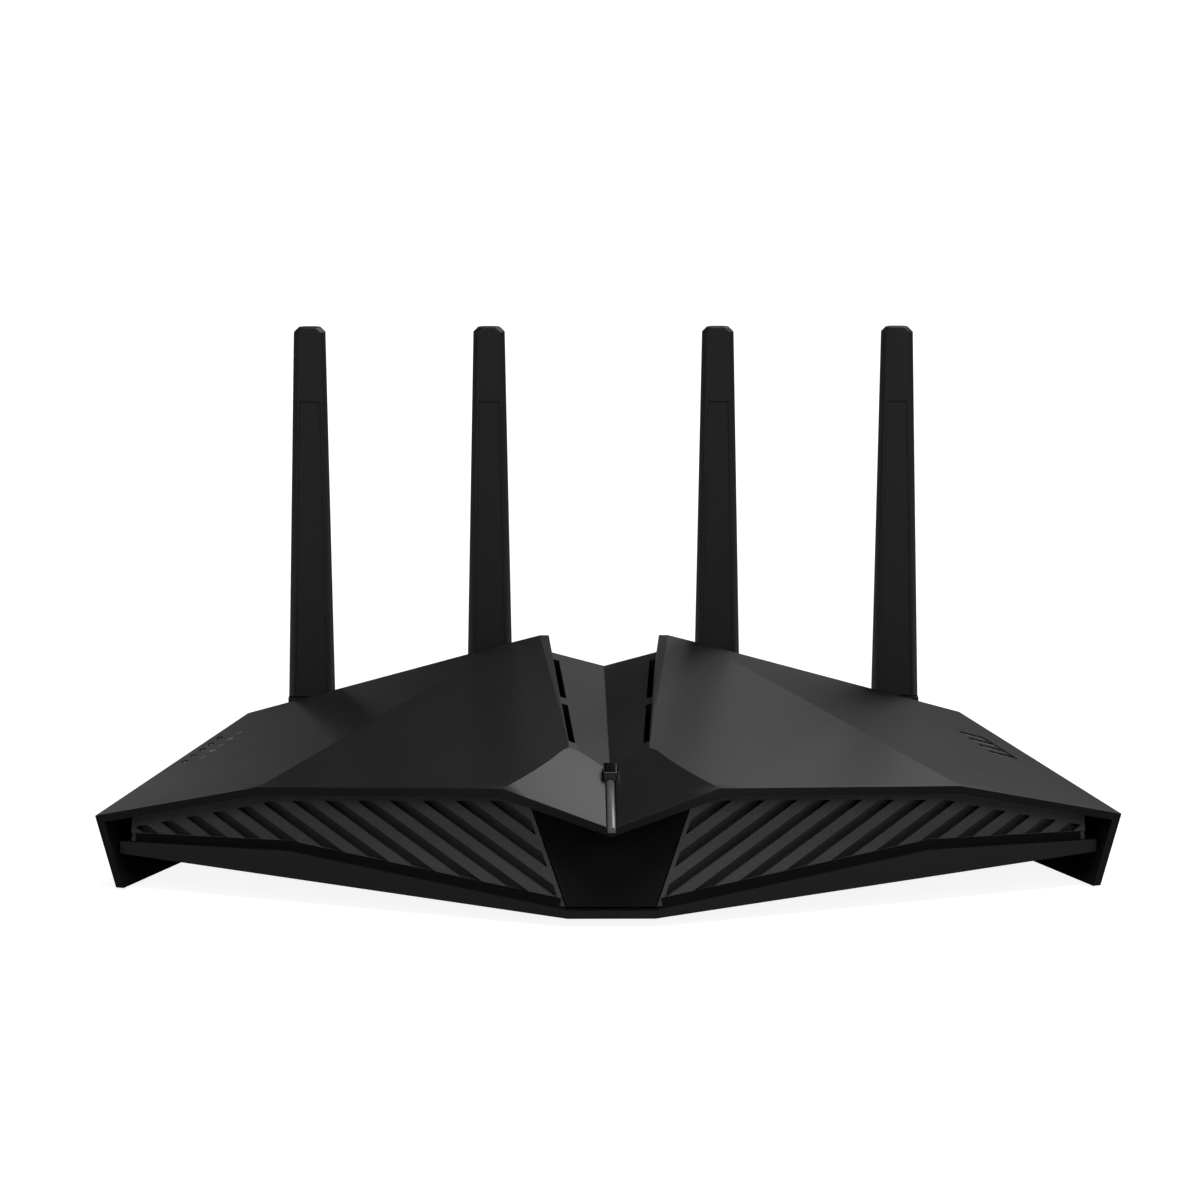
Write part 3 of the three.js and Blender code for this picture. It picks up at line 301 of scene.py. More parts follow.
def prism(bm, low, high):
    """A closed prism between two loops with the same number of corners."""
    a = [bm.verts.new(p) for p in low]
    b = [bm.verts.new(p) for p in high]
    count = len(a)
    bm.faces.new(a[::-1])
    bm.faces.new(b)
    for i in range(count):
        j = (i + 1) % count
        bm.faces.new((a[i], a[j], b[j], b[i]))


def block(bm, low, high):
    """A closed box between two corners."""
    x0, y0, z0 = low
    x1, y1, z1 = high
    base = [(x0, y0), (x1, y0), (x1, y1), (x0, y1)]
    prism(bm, [(x, y, z0) for x, y in base], [(x, y, z1) for x, y in base])


def bevel_edges(bm, offset, segments, wanted):
    """Rounds each edge that wanted(edge) picks."""
    edges = [e for e in bm.edges if e.is_manifold and wanted(e)]
    bmesh.ops.bevel(bm, geom=edges, offset=offset * MM, segments=segments, profile=0.5,
                    affect="EDGES", clamp_overlap=True)


def sharper_than(degrees):
    """A test for edges whose two faces turn by more than this."""
    limit = math.radians(degrees)
    return lambda edge: edge.calc_face_angle(0) > limit


# ---- top cover -----------------------------------------------------------------------

def cover_corners(shift):
    """Corners of the right half, with the ridge's walls moved outwards by shift."""
    peak = Vector((PEAK["x"] + shift, PEAK["y"], PEAK["z"]))
    ridge_outer = Vector((RIDGE_OUTER_X + shift, CASE_DEPTH, RIDGE_HEIGHT))
    return {
        "corner": Vector((HALF, 0, FRONT_CORNER_HEIGHT)),
        "rear_corner": Vector((REAR_HALF, CASE_DEPTH, REAR_CORNER_HEIGHT)),
        "crease_front": Vector((CREASE_FRONT["x"], front_y(CREASE_FRONT["x"]), CREASE_FRONT["z"])),
        "crease_rear": Vector((CREASE_REAR["x"], CASE_DEPTH, CREASE_REAR["z"])),
        "peak": peak,
        "ridge_outer": ridge_outer,
        "ridge_front": mix(ridge_outer, peak, 1 / PEAK_SHARE),
        "ridge_inner": Vector((RIDGE_INNER_X + shift, CASE_DEPTH, RIDGE_HEIGHT)),
        "valley_foot": Vector((VALLEY_FOOT["x"] + shift, CASE_DEPTH, VALLEY_FOOT["z"])),
        "valley": Vector((0, CASE_DEPTH, VALLEY_HEIGHT)),
        "notch": Vector((0, NOTCH["y"], NOTCH["z"])),
        "nose": Vector((0, -NOSE_REACH, NOSE_HEIGHT)),
    }


def patch(rows):
    """Quads between neighbouring rows of points."""
    quads = []
    for row, following in zip(rows, rows[1:]):
        for i in range(len(row) - 1):
            quads.append([row[i], row[i + 1], following[i + 1], following[i]])
    return quads


def ruled(line_a, line_b, columns):
    """Rows of points from one line to the other."""
    return [[mix(a, b, j / columns) for j in range(columns + 1)]
            for a, b in zip(line_a, line_b)]


def half_skin(shift, wing_inset):
    """The right half of the cover's skin, as named patches of quads."""
    p = cover_corners(shift)
    turn = 1 - PEAK_SHARE
    shares = [turn * i / BEAK_ROWS for i in range(BEAK_ROWS)]
    shares += [turn + PEAK_SHARE * i / RIDGE_ROWS for i in range(RIDGE_ROWS + 1)]
    crease = [mix(p["crease_front"], p["crease_rear"], v) for v in shares]
    ridge = [mix(p["ridge_front"], p["ridge_outer"], v) for v in shares]
    reach = [min(1, BEAK_SHARE + (1 - BEAK_SHARE) * v / turn) for v in shares]
    inner = [mix(a, b, u) for a, b, u in zip(crease, ridge, reach)]
    side = [mix(p["corner"], p["rear_corner"], v) for v in shares]
    side = [mix(b, a, wing_inset / (b.x - a.x)) for a, b in zip(crease, side)]
    beak_line = inner[:BEAK_ROWS + 1]
    ridge_line = inner[BEAK_ROWS:]
    steps = [i / RIDGE_ROWS for i in range(RIDGE_ROWS + 1)]
    ridge_inner = [mix(p["peak"], p["ridge_inner"], t) for t in steps]
    foot = [mix(p["peak"], p["valley_foot"], t) for t in steps]
    valley = [mix(p["notch"], p["valley"], t) for t in steps]
    nose_line = [mix(p["nose"], p["notch"], i / BEAK_ROWS) for i in range(BEAK_ROWS + 1)]
    return {
        "wing": ruled(side, crease, FACET_COLUMNS),
        "main": ruled(crease, inner, FACET_COLUMNS),
        "beak": ruled(beak_line, nose_line, FACET_COLUMNS // 2),
        "ridge_top": ruled(ridge_line, ridge_inner, 1),
        "ridge_wall": ruled(ridge_inner, foot, 1),
        "valley": ruled(foot, valley, FACET_COLUMNS // 2),
    }


def skirt_x(y):
    """Outer face of the side wall at its lower edge."""
    lean = SKIRT_LEAN / FRONT_CORNER_HEIGHT
    rise = REAR_CORNER_HEIGHT - FRONT_CORNER_HEIGHT
    slope = (HALF - REAR_HALF + lean * rise) / CASE_DEPTH
    return HALF - slope * y - SKIRT_LEAN


def half_cover():
    """Quads of the right half of the cover: skin, inside, rims and side wall."""
    outer = half_skin(0, 0)
    inner = half_skin(RIDGE_WALL, SKIRT_WALL)
    down = Vector((0, 0, -COVER_WALL))
    inner = {name: [[q + down for q in row] for row in rows] for name, rows in inner.items()}
    quads = []
    for name in outer:
        quads += patch(outer[name]) + patch(inner[name])
    for name, ends in {"wing": (0, -1), "main": (0, -1), "beak": (0,), "ridge_top": (-1,),
                       "ridge_wall": (-1,), "valley": (-1,)}.items():
        for end in ends:
            quads += patch([outer[name][end], inner[name][end]])
    outer_side = [row[0] for row in outer["wing"]]
    inner_side = [row[0] for row in inner["wing"]]
    outer_foot = [Vector((skirt_x(q.y), q.y, 0)) for q in outer_side]
    inner_foot = [Vector((skirt_x(q.y) - SKIRT_WALL, q.y, 0)) for q in inner_side]
    quads += patch([outer_side, outer_foot]) + patch([outer_foot, inner_foot])
    quads += patch([inner_foot, inner_side])
    for i in (0, -1):
        quads.append([outer_side[i], outer_foot[i], inner_foot[i], inner_side[i]])
    return quads


def mirrored(point):
    return Vector((-point.x, point.y, point.z))


def cover_shell():
    """The whole cover as one closed mesh, before anything is cut out of it."""
    bm = bmesh.new()
    half = half_cover()
    for quad in half + [[mirrored(q) for q in reversed(quad)] for quad in half]:
        bm.faces.new([bm.verts.new(at(*q)) for q in quad])
    bmesh.ops.remove_doubles(bm, verts=bm.verts, dist=MERGE_GAP * MM)
    bmesh.ops.dissolve_degenerate(bm, dist=MERGE_GAP / 2 * MM, edges=bm.edges)
    bmesh.ops.recalc_face_normals(bm, faces=bm.faces)
    bevel_edges(bm, COVER_ROUNDING, 2, sharper_than(42))
    return bm


def crisp_creases(mesh, crease=4, corner=50, narrow=0.7):
    """Keeps the creases between the facets sharp, and the narrow rounded edges smooth."""
    mesh.shade_smooth()
    bm = bmesh.new()
    bm.from_mesh(mesh)
    width = {f: f.calc_area() / max(e.calc_length() for e in f.edges) for f in bm.faces}
    for edge in bm.edges:
        angle = math.degrees(edge.calc_face_angle(0))
        wide = all(width[f] > narrow * MM for f in edge.link_faces)
        edge.smooth = not (angle > corner or (angle > crease and wide))
    bm.to_mesh(mesh)
    bm.free()


VENT_SPANS = ((0.08, 0.5), (0.57, 0.96))        # shares of the way from the rear to the peak
VENT_WIDTH = 1.7
VENT_GAP = 0.15                                 # from the foot of the ridge's wall
VENT_FLOOR = 28
ABOVE_COVER = {"vent": 70, "status": 60, "channel": 12}
CHANNEL = {"half_width": 1.4, "sink": 1.2, "clip_half_width": 2.1, "clip_length": 6.5,
           "past_tip": 3, "overlap": 1, "behind_clip": 0.3}
STATUS = {"count": 5, "pitch": 6.3, "first": 51, "inset": 4.2, "width": 1.6, "length": 3.4,
          "depth": 2}
NOTCH_BACK = NOSE_REACH + NOTCH["y"]            # from the nose's tip back to the notch
CLIP_FRONT = NOTCH_BACK - CHANNEL["clip_length"]


def status_places():
    """Places in plan of the status windows on the left wing."""
    slope = (HALF - REAR_HALF) / CASE_DEPTH
    for i in range(STATUS["count"]):
        y = STATUS["first"] + STATUS["pitch"] * i
        yield -(HALF - slope * y - STATUS["inset"]), y


def nose_point(back):
    """A point of the nose crease, this far behind the tip in plan."""
    p = cover_corners(0)
    return mix(p["nose"], p["notch"], back / NOTCH_BACK)


def cutters():
    """The air slots beside the ridges and the status windows."""
    bm = bmesh.new()
    p = cover_corners(0)
    for start, end in VENT_SPANS:
        rear = mix(p["valley_foot"], p["peak"], start)
        front = mix(p["valley_foot"], p["peak"], end)
        for side in SIDES:
            plan = [(rear.x - VENT_GAP, rear.y), (front.x - VENT_GAP, front.y),
                    (front.x - VENT_GAP - VENT_WIDTH, front.y),
                    (rear.x - VENT_GAP - VENT_WIDTH, rear.y)]
            plan = plan if side > 0 else [(-x, y) for x, y in reversed(plan)]
            prism(bm, [at(x, y, VENT_FLOOR) for x, y in plan],
                  [at(x, y, ABOVE_COVER["vent"]) for x, y in plan])
    for x, y in status_places():
        under = mix(FRONT_CORNER_HEIGHT, REAR_CORNER_HEIGHT, y / CASE_DEPTH) - STATUS["depth"]
        block(bm, at(x - STATUS["width"] / 2, y - STATUS["length"] / 2, under),
              at(x + STATUS["width"] / 2, y + STATUS["length"] / 2, ABOVE_COVER["status"]))
    bmesh.ops.recalc_face_normals(bm, faces=bm.faces)
    return bm


def nose_cutter(half, start, end):
    """A bar along the nose crease, between two distances behind the nose tip."""
    bm = bmesh.new()
    loops = []
    for back in (start, end):
        q = nose_point(back)
        low, high = q.z - CHANNEL["sink"], q.z + ABOVE_COVER["channel"]
        loops.append([at(half, q.y, low), at(half, q.y, high),
                      at(-half, q.y, high), at(-half, q.y, low)])
    prism(bm, *loops)
    bmesh.ops.recalc_face_normals(bm, faces=bm.faces)
    return bm


def carve(obj, bm):
    """Cuts the solids out of the object, and leaves the result in its mesh."""
    mesh = bpy.data.meshes.new("tool")
    bm.to_mesh(mesh)
    bm.free()
    tool = bpy.data.objects.new("tool", mesh)
    bpy.context.scene.collection.objects.link(tool)
    modifier = obj.modifiers.new("cut", "BOOLEAN")
    modifier.operation = "DIFFERENCE"
    modifier.solver = "MANIFOLD"
    modifier.object = tool
    bpy.context.view_layer.update()
    graph = bpy.context.evaluated_depsgraph_get()
    result = bpy.data.meshes.new_from_object(obj.evaluated_get(graph))
    obj.modifiers.clear()
    old = obj.data
    obj.data = result
    bpy.data.meshes.remove(old)
    bpy.data.objects.remove(tool)


def paint_front_shade(obj, forwards=0.5, upright=0.8):
    """Paints shade on the faces that look forwards under the cover's front edge: they get a darker
    copy of the cover's black, for the shade the light leaves there.
    """
    obj.data.materials.append(MATERIALS["front_shade_black"])
    for face in obj.data.polygons:
        if face.normal.y < -forwards and abs(face.normal.z) < upright:
            face.material_index = 1


cover = new_piece("cover_shell", cover_shell(), "satin_black", "case")
carve(cover, cutters())
carve(cover, nose_cutter(CHANNEL["half_width"], -CHANNEL["past_tip"],
                         CLIP_FRONT + CHANNEL["overlap"]))
carve(cover, nose_cutter(CHANNEL["clip_half_width"], CLIP_FRONT,
                         NOTCH_BACK + CHANNEL["behind_clip"]))
dress(cover, "satin_black")
crisp_creases(cover.data)
# Painted shade on the cover's forward-facing rims and side walls' front ends.
paint_front_shade(cover)
weigh_normals(cover)
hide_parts("top_cover")


# ---- grille slats --------------------------------------------------------------------

GRILLE_SETBACK = 5
GRILLE_LEAN = 0.22
CENTRE_LOW_X = 12.5
CENTRE_SPREAD = 0.365
CENTRE_LOW_Z = 6
LOUVRE = {"pitch": 6.15, "open": 2.9, "slope": 0.637, "count": 15, "first": 3, "offset": 2}
SLAT = {"top_depth": 0.85, "foot_depth": 1.7, "gap": 0.4, "wall": 0.45, "overlap": 0.2,
        "tuck": 0.35, "past_centre": 0.4, "under_roof": 1.4, "end_x": 124, "shortest": 4,
        "step": 0.25}
STRIP = {"near": 0.25, "far": 0.75, "clear": 0.1, "sunk": 1.2, "start": 0.9, "end_x": 126.5}
CHIN = (11.3, 1.8)
KNEE = (84.6, 10.2)
LIP_END = (127.5, 9.1)
LIP_CHIN = 1.9
LIP_SIDE = 3.3
GROOVE_HEIGHT = 1.9


def grille_point(x, z, depth):
    """A point this far behind the right grille's leaning front face."""
    y = front_y(x) + GRILLE_SETBACK + GRILLE_LEAN * (z - CENTRE_LOW_Z)
    return at(x, y + depth, z)


def lip_top(x):
    """Height at which the louvres start, above the tray's lip and the groove."""
    (x0, z0), (x1, z1) = (CHIN, KNEE) if x < KNEE[0] else (KNEE, LIP_END)
    foot = z0 + (z1 - z0) * (x - x0) / (x1 - x0)
    return foot + LIP_CHIN + (LIP_SIDE - LIP_CHIN) * min(1, x / KNEE[0]) + GROOVE_HEIGHT


def roof_edge(x):
    """Height of the cover's front edge."""
    p = cover_corners(0)
    beak = mix(p["crease_front"], p["ridge_front"], BEAK_SHARE)
    middle = p["crease_front"]
    a, b = (beak, middle) if x < middle.x else (middle, p["corner"])
    return a.z + (b.z - a.z) * (x - a.x) / (b.x - a.x)


def hidden_below(x, z):
    """Whether a slat's end at this place is behind the strip or the centre panel."""
    centre_edge = CENTRE_LOW_X + CENTRE_SPREAD * (z - CENTRE_LOW_Z)
    return z < lip_top(x) - SLAT["tuck"] or x < centre_edge + SLAT["past_centre"]


def groove_shadow_strip(side):
    """Painted shadow: a deep black strip in the groove between the tray's lip and the louvres,
    standing in for the shade that fills the groove.
    """
    bm = bmesh.new()
    stops = [CENTRE_LOW_X + STRIP["start"], KNEE[0], STRIP["end_x"]]
    for x0, x1 in zip(stops, stops[1:]):
        loops = []
        for x in (x0, x1):
            top = lip_top(x) - STRIP["clear"]
            foot = lip_top(x) - GROOVE_HEIGHT - STRIP["sunk"]
            section = [(foot, STRIP["near"]), (top, STRIP["near"]), (top, STRIP["far"]),
                       (foot, STRIP["far"])]
            loops.append([grille_point(x, z, depth) for z, depth in section])
        if side < 0:
            loops = [[mirrored(q) for q in loop] for loop in loops]
        prism(bm, *loops)
    bmesh.ops.remove_doubles(bm, verts=bm.verts, dist=MERGE_GAP / 2 * MM)
    inner = [f for f in bm.faces if all(not e.is_manifold for e in f.edges)]
    bmesh.ops.delete(bm, geom=inner, context="FACES_ONLY")
    bmesh.ops.recalc_face_normals(bm, faces=bm.faces)
    return bm


def slat_ends(line):
    """Where a slat comes out of hiding at its lower end, and where it meets the roof."""
    start = CENTRE_LOW_X
    while hidden_below(start, line(start) + LOUVRE["open"]) and start < HALF:
        start += SLAT["step"]
    end = start
    roof_gap = COVER_WALL + SLAT["under_roof"]
    while line(end) + LOUVRE["open"] < roof_edge(end) - roof_gap and end < SLAT["end_x"]:
        end += SLAT["step"]
    return start, end


def slats(side):
    """One leaning slat behind each louvre opening of a grille."""
    bm = bmesh.new()
    for i in range(LOUVRE["count"]):
        def line(x):
            return (CENTRE_LOW_Z - LOUVRE["pitch"] * (i - LOUVRE["first"])
                    + LOUVRE["slope"] * (x - CENTRE_LOW_X - LOUVRE["offset"]))

        start, end = slat_ends(line)
        if end - start < SLAT["shortest"]:
            continue
        loops = []
        for x in (start, end):
            top = line(x) + LOUVRE["open"] + SLAT["overlap"]
            foot = line(x) + SLAT["gap"]
            section = [(top, SLAT["top_depth"]), (foot, SLAT["foot_depth"]),
                       (foot, SLAT["foot_depth"] + SLAT["wall"]),
                       (top, SLAT["top_depth"] + SLAT["wall"])]
            loops.append([grille_point(x, z, depth) for z, depth in section])
        if side < 0:
            loops = [[mirrored(q) for q in loop] for loop in loops]
        prism(bm, *loops)
    bmesh.ops.recalc_face_normals(bm, faces=bm.faces)
    return bm


for side, name in ((1, "right"), (-1, "left")):
    new_piece(f"{name}_grille_slats", slats(side), "slat_black", "case")
    # Each grille's groove piece is painted shadow: a deep black strip where the groove lies in
    # shade.
    new_piece(f"{name}_grille_groove_shadow", groove_shadow_strip(side), "deep_black", "case")


# ---- nose light ----------------------------------------------------------------------

ROD = {"half_width": 1.1, "sink": 0.85, "rise": 0.75, "past_tip": 0.8, "clip_gap": 0.3,
       "rounding": 0.25, "sides": 10}


def nose_rod():
    """The light strip on the nose crease: a half-round rod that runs on past the tip."""
    bm = bmesh.new()
    arc = [math.pi * i / ROD["sides"] for i in range(ROD["sides"] + 1)]
    section = [(ROD["half_width"] * math.cos(a), ROD["rise"] * math.sin(a)) for a in arc]
    section += [(-ROD["half_width"], -ROD["sink"]), (ROD["half_width"], -ROD["sink"])]
    loops = []
    for back in (-ROD["past_tip"], CLIP_FRONT - ROD["clip_gap"]):
        q = nose_point(back)
        loops.append([at(x, q.y, q.z + z) for x, z in section])
    prism(bm, *loops)
    bmesh.ops.recalc_face_normals(bm, faces=bm.faces)
    bevel_edges(bm, ROD["rounding"], 2, sharper_than(50))
    return bm


rod = new_piece("nose_light_rod", nose_rod(), "clear_light_guide", "case")
smooth(rod.data, 40)
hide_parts("nose_light_pipe")


# ---- status marks, socket contacts ---------------------------------------------------

def wing_height(x, y):
    """Height of the left wing's skin over a place in plan."""
    p = cover_corners(0)
    v = y / CASE_DEPTH
    for _ in range(6):
        side = mix(p["corner"], p["rear_corner"], v)
        crease = mix(p["crease_front"], p["crease_rear"], v)
        u = (side.x - abs(x)) / (side.x - crease.x)
        v += (y - mix(side.y, crease.y, u)) / CASE_DEPTH
    return mix(side.z, crease.z, u)


MARK = {"inboard": 4.2, "drift": 0.1, "back": 0.9, "pitch": 1.2, "length": 1.7, "width": 0.55,
        "root": 0.05, "rise": 0.04}


def status_marks():
    """Small plain dashes inboard of the status windows, one or two beside each."""
    bm = bmesh.new()
    for i, (x, y) in enumerate(status_places()):
        for part in range(1 + i % 2):
            x0 = x + MARK["inboard"] + MARK["drift"] * i
            y0 = y - MARK["back"] + MARK["pitch"] * part
            x1, y1 = x0 + MARK["length"], y0 + MARK["width"]
            corners = [(x0, y0), (x1, y0), (x1, y1), (x0, y1)]
            prism(bm, [at(a, b, wing_height(a, b) - MARK["root"]) for a, b in corners],
                  [at(a, b, wing_height(a, b) + MARK["rise"]) for a, b in corners])
    bmesh.ops.recalc_face_normals(bm, faces=bm.faces)
    return bm


new_piece("status_marks", status_marks(), "icon_print", "case")

CONTACT = {"count": 8, "pitch": 1.02, "width": 0.45, "wall": 0.25, "roof": 10.7,
           "bends": ((2.5, 0.1), (4, 0.5), (12.5, 3.2))}    # behind the face, below the roof


def network_contacts(node):
    """Eight sprung contacts, leaning down from the roof of a socket towards its back."""
    low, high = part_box(node)
    middle = (low.x + high.x) / 2
    roof = low.z + CONTACT["roof"] * MM
    half = CONTACT["width"] / 2 * MM
    wall = CONTACT["wall"] * MM
    path = [(high.y - back * MM, roof - drop * MM) for back, drop in CONTACT["bends"]]
    bm = bmesh.new()
    for i in range(CONTACT["count"]):
        x = middle + (i - (CONTACT["count"] - 1) / 2) * CONTACT["pitch"] * MM
        for (y0, z0), (y1, z1) in zip(path, path[1:]):
            prism(bm, [(x - half, y0, z0), (x + half, y0, z0),
                       (x + half, y0, z0 - wall), (x - half, y0, z0 - wall)],
                  [(x - half, y1, z1), (x + half, y1, z1),
                   (x + half, y1, z1 - wall), (x - half, y1, z1 - wall)])
    bmesh.ops.recalc_face_normals(bm, faces=bm.faces)
    return bm


for node in ("lan_jack_1", "lan_jack_2", "lan_jack_3", "lan_jack_4", "wan_jack"):
    new_piece(f"{node}_contacts", network_contacts(node), "gold", "case")


USB_CONTACT = {"count": 4, "pitch": 2.2, "half_width": 0.5, "start": 10, "end": 2,
               "low": 0.12, "high": 0.02, "above_middle": 0.1, "rounding": 0.04}


def usb_contacts():
    """Four flat contacts under the socket's tongue."""
    low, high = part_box("usb_port")
    middle = (low.x + high.x) / 2
    bm = bmesh.new()
    under = (low.z + high.z) / 2 + USB_CONTACT["above_middle"] * MM
    half = USB_CONTACT["half_width"] * MM
    for i in range(USB_CONTACT["count"]):
        x = middle + (i - (USB_CONTACT["count"] - 1) / 2) * USB_CONTACT["pitch"] * MM
        block(bm, (x - half, high.y - USB_CONTACT["start"] * MM, under - USB_CONTACT["low"] * MM),
              (x + half, high.y - USB_CONTACT["end"] * MM, under + USB_CONTACT["high"] * MM))
    bmesh.ops.recalc_face_normals(bm, faces=bm.faces)
    bevel_edges(bm, USB_CONTACT["rounding"], 1, sharper_than(50))
    return bm


new_piece("usb_contacts", usb_contacts(), "gold", "case")


SLEEVE_RINGS = ((8, 1.12), (1.6, 1.12), (1.0, 0.95), (0.7, 0.5))     # behind the face, radius
SLEEVE_SIDES = 20


def inlet_sleeve():
    """Bright sleeve on the power inlet's centre pin, with a rounded tip."""
    low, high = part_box("dc_inlet")
    centre = (low + high) / 2
    bm = bmesh.new()
    turns = [2 * math.pi * i / SLEEVE_SIDES for i in range(SLEEVE_SIDES)]
    loops = []
    for back, radius in SLEEVE_RINGS:
        reach = radius * MM
        loops.append([bm.verts.new((centre.x + reach * math.cos(a), high.y - back * MM,
                                    centre.z + reach * math.sin(a))) for a in turns])
    for a, b in zip(loops, loops[1:]):
        for i in range(SLEEVE_SIDES):
            j = (i + 1) % SLEEVE_SIDES
            bm.faces.new((a[i], a[j], b[j], b[i]))
    bm.faces.new(loops[0][::-1])
    bm.faces.new(loops[-1])
    bmesh.ops.recalc_face_normals(bm, faces=bm.faces)
    return bm


sleeve = new_piece("dc_inlet_sleeve", inlet_sleeve(), "steel", "case")
smooth(sleeve.data, 40)


# ---- CAD nodes that keep their shape -------------------------------------------------

def shade_smooth_group():
    """Geometry nodes that shade every face smooth."""
    group = bpy.data.node_groups.new("shade_smooth", "GeometryNodeTree")
    group.interface.new_socket("Geometry", in_out="INPUT", socket_type="NodeSocketGeometry")
    group.interface.new_socket("Geometry", in_out="OUTPUT", socket_type="NodeSocketGeometry")
    enter = group.nodes.new("NodeGroupInput")
    leave = group.nodes.new("NodeGroupOutput")
    shade = group.nodes.new("GeometryNodeSetShadeSmooth")
    group.links.new(enter.outputs[0], shade.inputs["Geometry"])
    group.links.new(shade.outputs[0], leave.inputs[0])
    return group


SMOOTH_GROUP = shade_smooth_group()
WELD_GAP = 0.002
FLAT_WITHIN = 0.6       # degrees between triangles that are one flat face


def soften(node, width, segments=2, angle=32):
    """Merges the CAD's triangles into faces and rounds the edges between them."""
    obj = nodes[node]
    weld = obj.modifiers.new("weld", "WELD")
    weld.merge_threshold = WELD_GAP * MM
    flat = obj.modifiers.new("flat_faces", "DECIMATE")
    flat.decimate_type = "DISSOLVE"
    flat.angle_limit = math.radians(FLAT_WITHIN)
    rounding = obj.modifiers.new("edges", "BEVEL")
    rounding.width = width * MM
    rounding.segments = segments
    rounding.limit_method = "ANGLE"
    rounding.angle_limit = math.radians(angle)
    rounding.use_clamp_overlap = True
    shade = obj.modifiers.new("shade", "NODES")
    shade.node_group = SMOOTH_GROUP
    weigh_normals(obj)


# Material and edge rounding of each CAD node that keeps its shape
FINISHES = {
    "bottom_shell": ("satin_black", 0.3), "rear_io_panel": ("satin_black", 0.15),
    "front_centre_panel": ("deep_black", 0.15),
    "right_grille": ("rib_black", 0.22), "left_grille": ("rib_black", 0.22),
    "right_light_diffuser": ("smoked_lens", 0.1), "left_light_diffuser": ("smoked_lens", 0.1),
    "right_light_board": ("circuit_board", 0.05), "left_light_board": ("circuit_board", 0.05),
    "nose_clip": ("gloss_black", 0.3),
    "status_light_guide": ("clear_light_guide", 0.1), "emblem": ("gloss_black", 0.12),
    "main_board": ("circuit_board", 0.1), "processor": ("deep_black", 0.1),
    "processor_heatsink": ("heatsink_aluminium", 0.1),
    "left_radio_shield": ("steel", 0.3), "right_radio_shield": ("steel", 0.3),
    "wan_jack": ("socket_blue", 0.15), "usb_port": ("steel", 0.12),
    "dc_inlet": ("deep_black", 0.25), "power_button": ("deep_black", 0.35),
    "power_switch": ("deep_black", 0.2), "wps_button": ("deep_black", 0.3),
    "wps_switch": ("deep_black", 0.2), "reset_button": ("deep_black", 0.2),
    "reset_switch": ("deep_black", 0.2),
}
for i in range(1, 5):
    FINISHES[f"lan_jack_{i}"] = ("deep_black", 0.15)
    FINISHES[f"case_screw_{i}"] = ("steel", 0.1)
for corner in ("front_left", "front_right", "rear_left", "rear_right"):
    FINISHES[f"foot_{corner}"] = ("foot_rubber", 0.3)
for antenna in ("outer_left", "inner_left", "inner_right", "outer_right"):
    FINISHES[f"{antenna}_antenna_front"] = ("antenna_black", 0.18)
    FINISHES[f"{antenna}_antenna_back"] = ("antenna_black", 0.25)
    FINISHES[f"{antenna}_antenna_knuckle"] = ("antenna_black", 0.25)
    FINISHES[f"{antenna}_antenna_pin"] = ("steel", 0.15)
    FINISHES[f"{antenna}_antenna_radiator"] = ("circuit_board", 0.05)

for node, (material, width) in FINISHES.items():
    dress(nodes[node], material)
    soften(node, width)
dress(nodes["top_cover"], "satin_black")
dress(nodes["nose_light_pipe"], "clear_light_guide")


# ---- stage, light and camera ---------------------------------------------------------

FLOOR_SIZE = 60
FLOOR_GREY = (0.5, 0.5, 0.5)
FLOOR_GLOW = {"near": 0.25, "far": 1.3, "near_strength": 0.9, "far_strength": 1.05}
BACKDROP_STRENGTH = 1.1
ROOM_STRENGTH = 0.01
CAMERA_PLACE = (-0.0196, -1.50695, 0.2853)
CAMERA_TURN = math.radians(-0.67)
CAMERA_PITCH = math.radians(8)
CAMERA_LENS = 168.08
CAMERA_SENSOR = 36
AIM = (0, 0, 0.04)

# Name, place, size and power in watts of each softbox
SOFTBOXES = (
    ("back_high_right", (0.6, 0.9, 1.2), (0.7, 0.6), 7.0),
    ("back_right", (0.45, 1.3, 0.85), (0.7, 0.6), 0.5),
    ("back_middle", (0.12, 1.6, 0.75), (0.5, 0.5), 0.16),
    ("back_left", (-0.75, 1.5, 0.35), (0.9, 0.5), 0.75),
    ("front_left", (-0.9, -1.2, 0.7), (0.7, 0.7), 2.2),
    ("front_right", (0.9, -1.2, 0.7), (0.7, 0.7), 3.0),
    ("front_top", (0.0, -0.6, 1.3), (0.8, 0.5), 6.0),
)


def make_floor():
    """A pale floor that the camera sees as white, with the object's soft shadow on it."""
    bpy.ops.mesh.primitive_plane_add(size=FLOOR_SIZE, location=(0, 0, 0))
    floor = bpy.context.object
    floor.name = "floor"
    material, tree, principled = shader("floor_white", FLOOR_GREY, 0.9)
    path = tree.nodes.new("ShaderNodeLightPath")
    place = tree.nodes.new("ShaderNodeTexCoord")
    distance = tree.nodes.new("ShaderNodeVectorMath")
    distance.operation = "LENGTH"
    rise = tree.nodes.new("ShaderNodeMapRange")
    rise.inputs["From Min"].default_value = FLOOR_GLOW["near"]
    rise.inputs["From Max"].default_value = FLOOR_GLOW["far"]
    rise.inputs["To Min"].default_value = FLOOR_GLOW["near_strength"]
    rise.inputs["To Max"].default_value = FLOOR_GLOW["far_strength"]
    glow = tree.nodes.new("ShaderNodeMath")
    glow.operation = "MULTIPLY"
    tree.links.new(place.outputs["Object"], distance.inputs[0])
    tree.links.new(distance.outputs["Value"], rise.inputs["Value"])
    tree.links.new(rise.outputs["Result"], glow.inputs[1])
    tree.links.new(path.outputs["Is Camera Ray"], glow.inputs[0])
    principled.inputs["Emission Color"].default_value = (1, 1, 1, 1)
    tree.links.new(glow.outputs[0], principled.inputs["Emission Strength"])
    floor.data.materials.append(material)


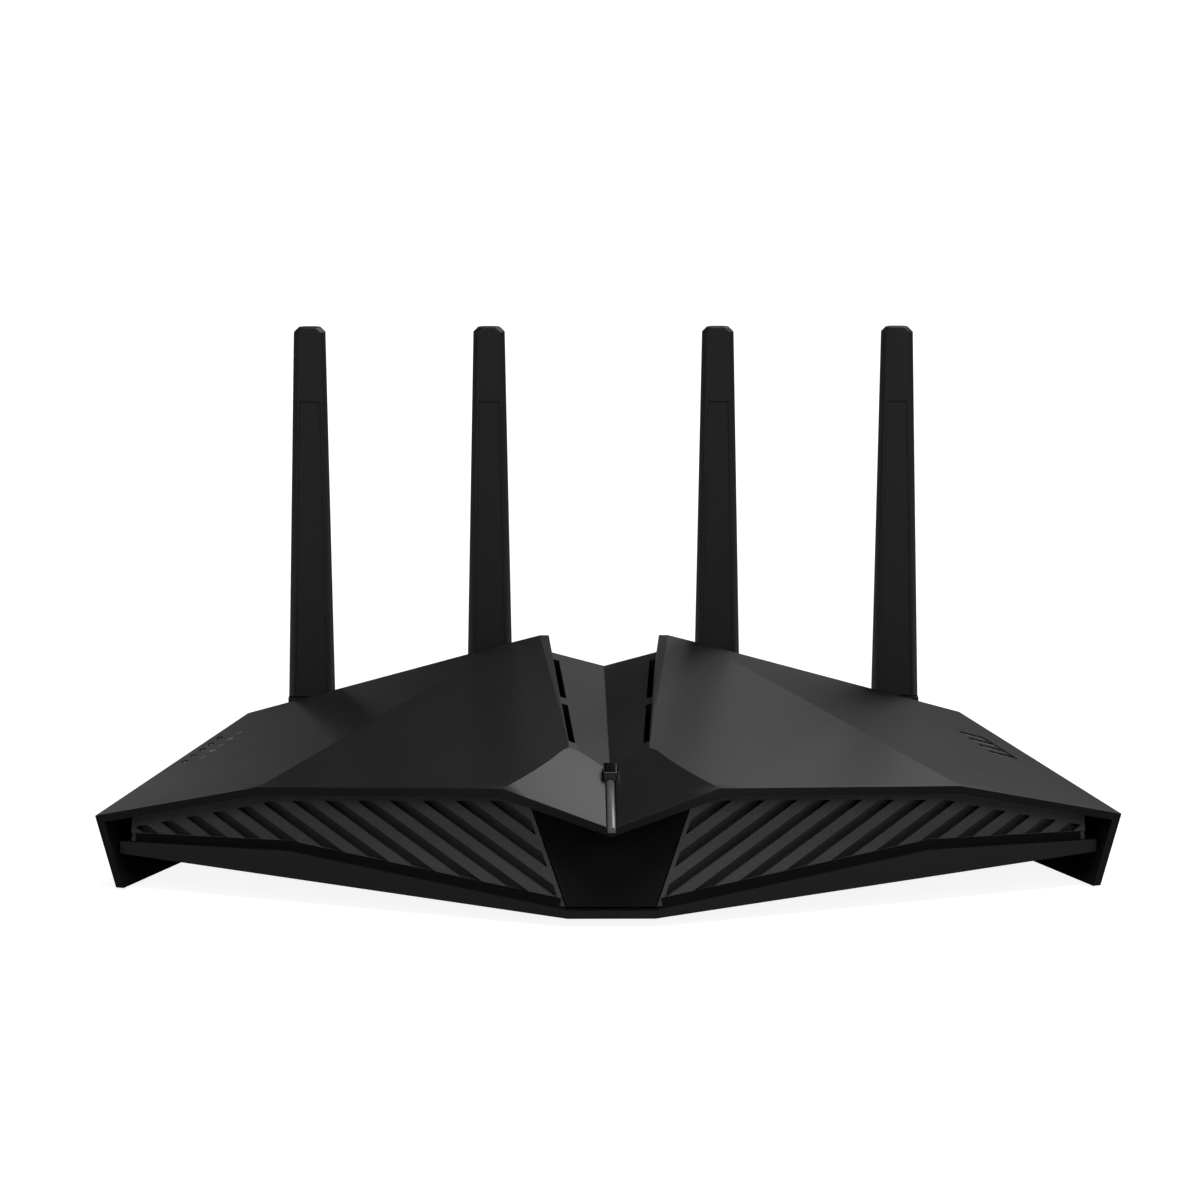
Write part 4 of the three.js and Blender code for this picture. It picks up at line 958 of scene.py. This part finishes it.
def make_world():
    """White behind the object for the camera, and a dim room for its reflections."""
    world = bpy.data.worlds.new("studio")
    bpy.context.scene.world = world
    world.use_nodes = True
    tree = world.node_tree
    tree.nodes.clear()
    out = tree.nodes.new("ShaderNodeOutputWorld")
    seen = tree.nodes.new("ShaderNodeBackground")
    seen.inputs["Color"].default_value = (1, 1, 1, 1)
    seen.inputs["Strength"].default_value = BACKDROP_STRENGTH
    room = tree.nodes.new("ShaderNodeBackground")
    room.inputs["Color"].default_value = (1, 1, 1, 1)
    room.inputs["Strength"].default_value = ROOM_STRENGTH
    path = tree.nodes.new("ShaderNodeLightPath")
    choose = tree.nodes.new("ShaderNodeMixShader")
    tree.links.new(path.outputs["Is Camera Ray"], choose.inputs["Fac"])
    tree.links.new(room.outputs[0], choose.inputs[1])
    tree.links.new(seen.outputs[0], choose.inputs[2])
    tree.links.new(choose.outputs[0], out.inputs["Surface"])


def softbox(name, place, size, power):
    """A rectangular area light that faces the object."""
    light = bpy.data.lights.new(name, "AREA")
    light.shape = "RECTANGLE"
    light.size, light.size_y = size
    light.energy = power
    obj = bpy.data.objects.new(name, light)
    obj.location = place
    obj.rotation_euler = (Vector(AIM) - Vector(place)).to_track_quat("-Z", "Y").to_euler()
    bpy.context.scene.collection.objects.link(obj)


def make_camera():
    """A camera in front of the object, a little above it and turned slightly."""
    data = bpy.data.cameras.new("camera")
    data.lens = CAMERA_LENS
    data.sensor_width = CAMERA_SENSOR
    camera = bpy.data.objects.new("camera", data)
    camera.location = CAMERA_PLACE
    back = Vector((math.sin(CAMERA_TURN) * math.cos(CAMERA_PITCH),
                   -math.cos(CAMERA_TURN) * math.cos(CAMERA_PITCH), math.sin(CAMERA_PITCH)))
    camera.rotation_euler = back.to_track_quat("Z", "Y").to_euler()
    bpy.context.scene.collection.objects.link(camera)
    bpy.context.scene.camera = camera


make_floor()
make_world()
for box in SOFTBOXES:
    softbox(*box)
make_camera()
bpy.context.scene.view_settings.view_transform = "Standard"
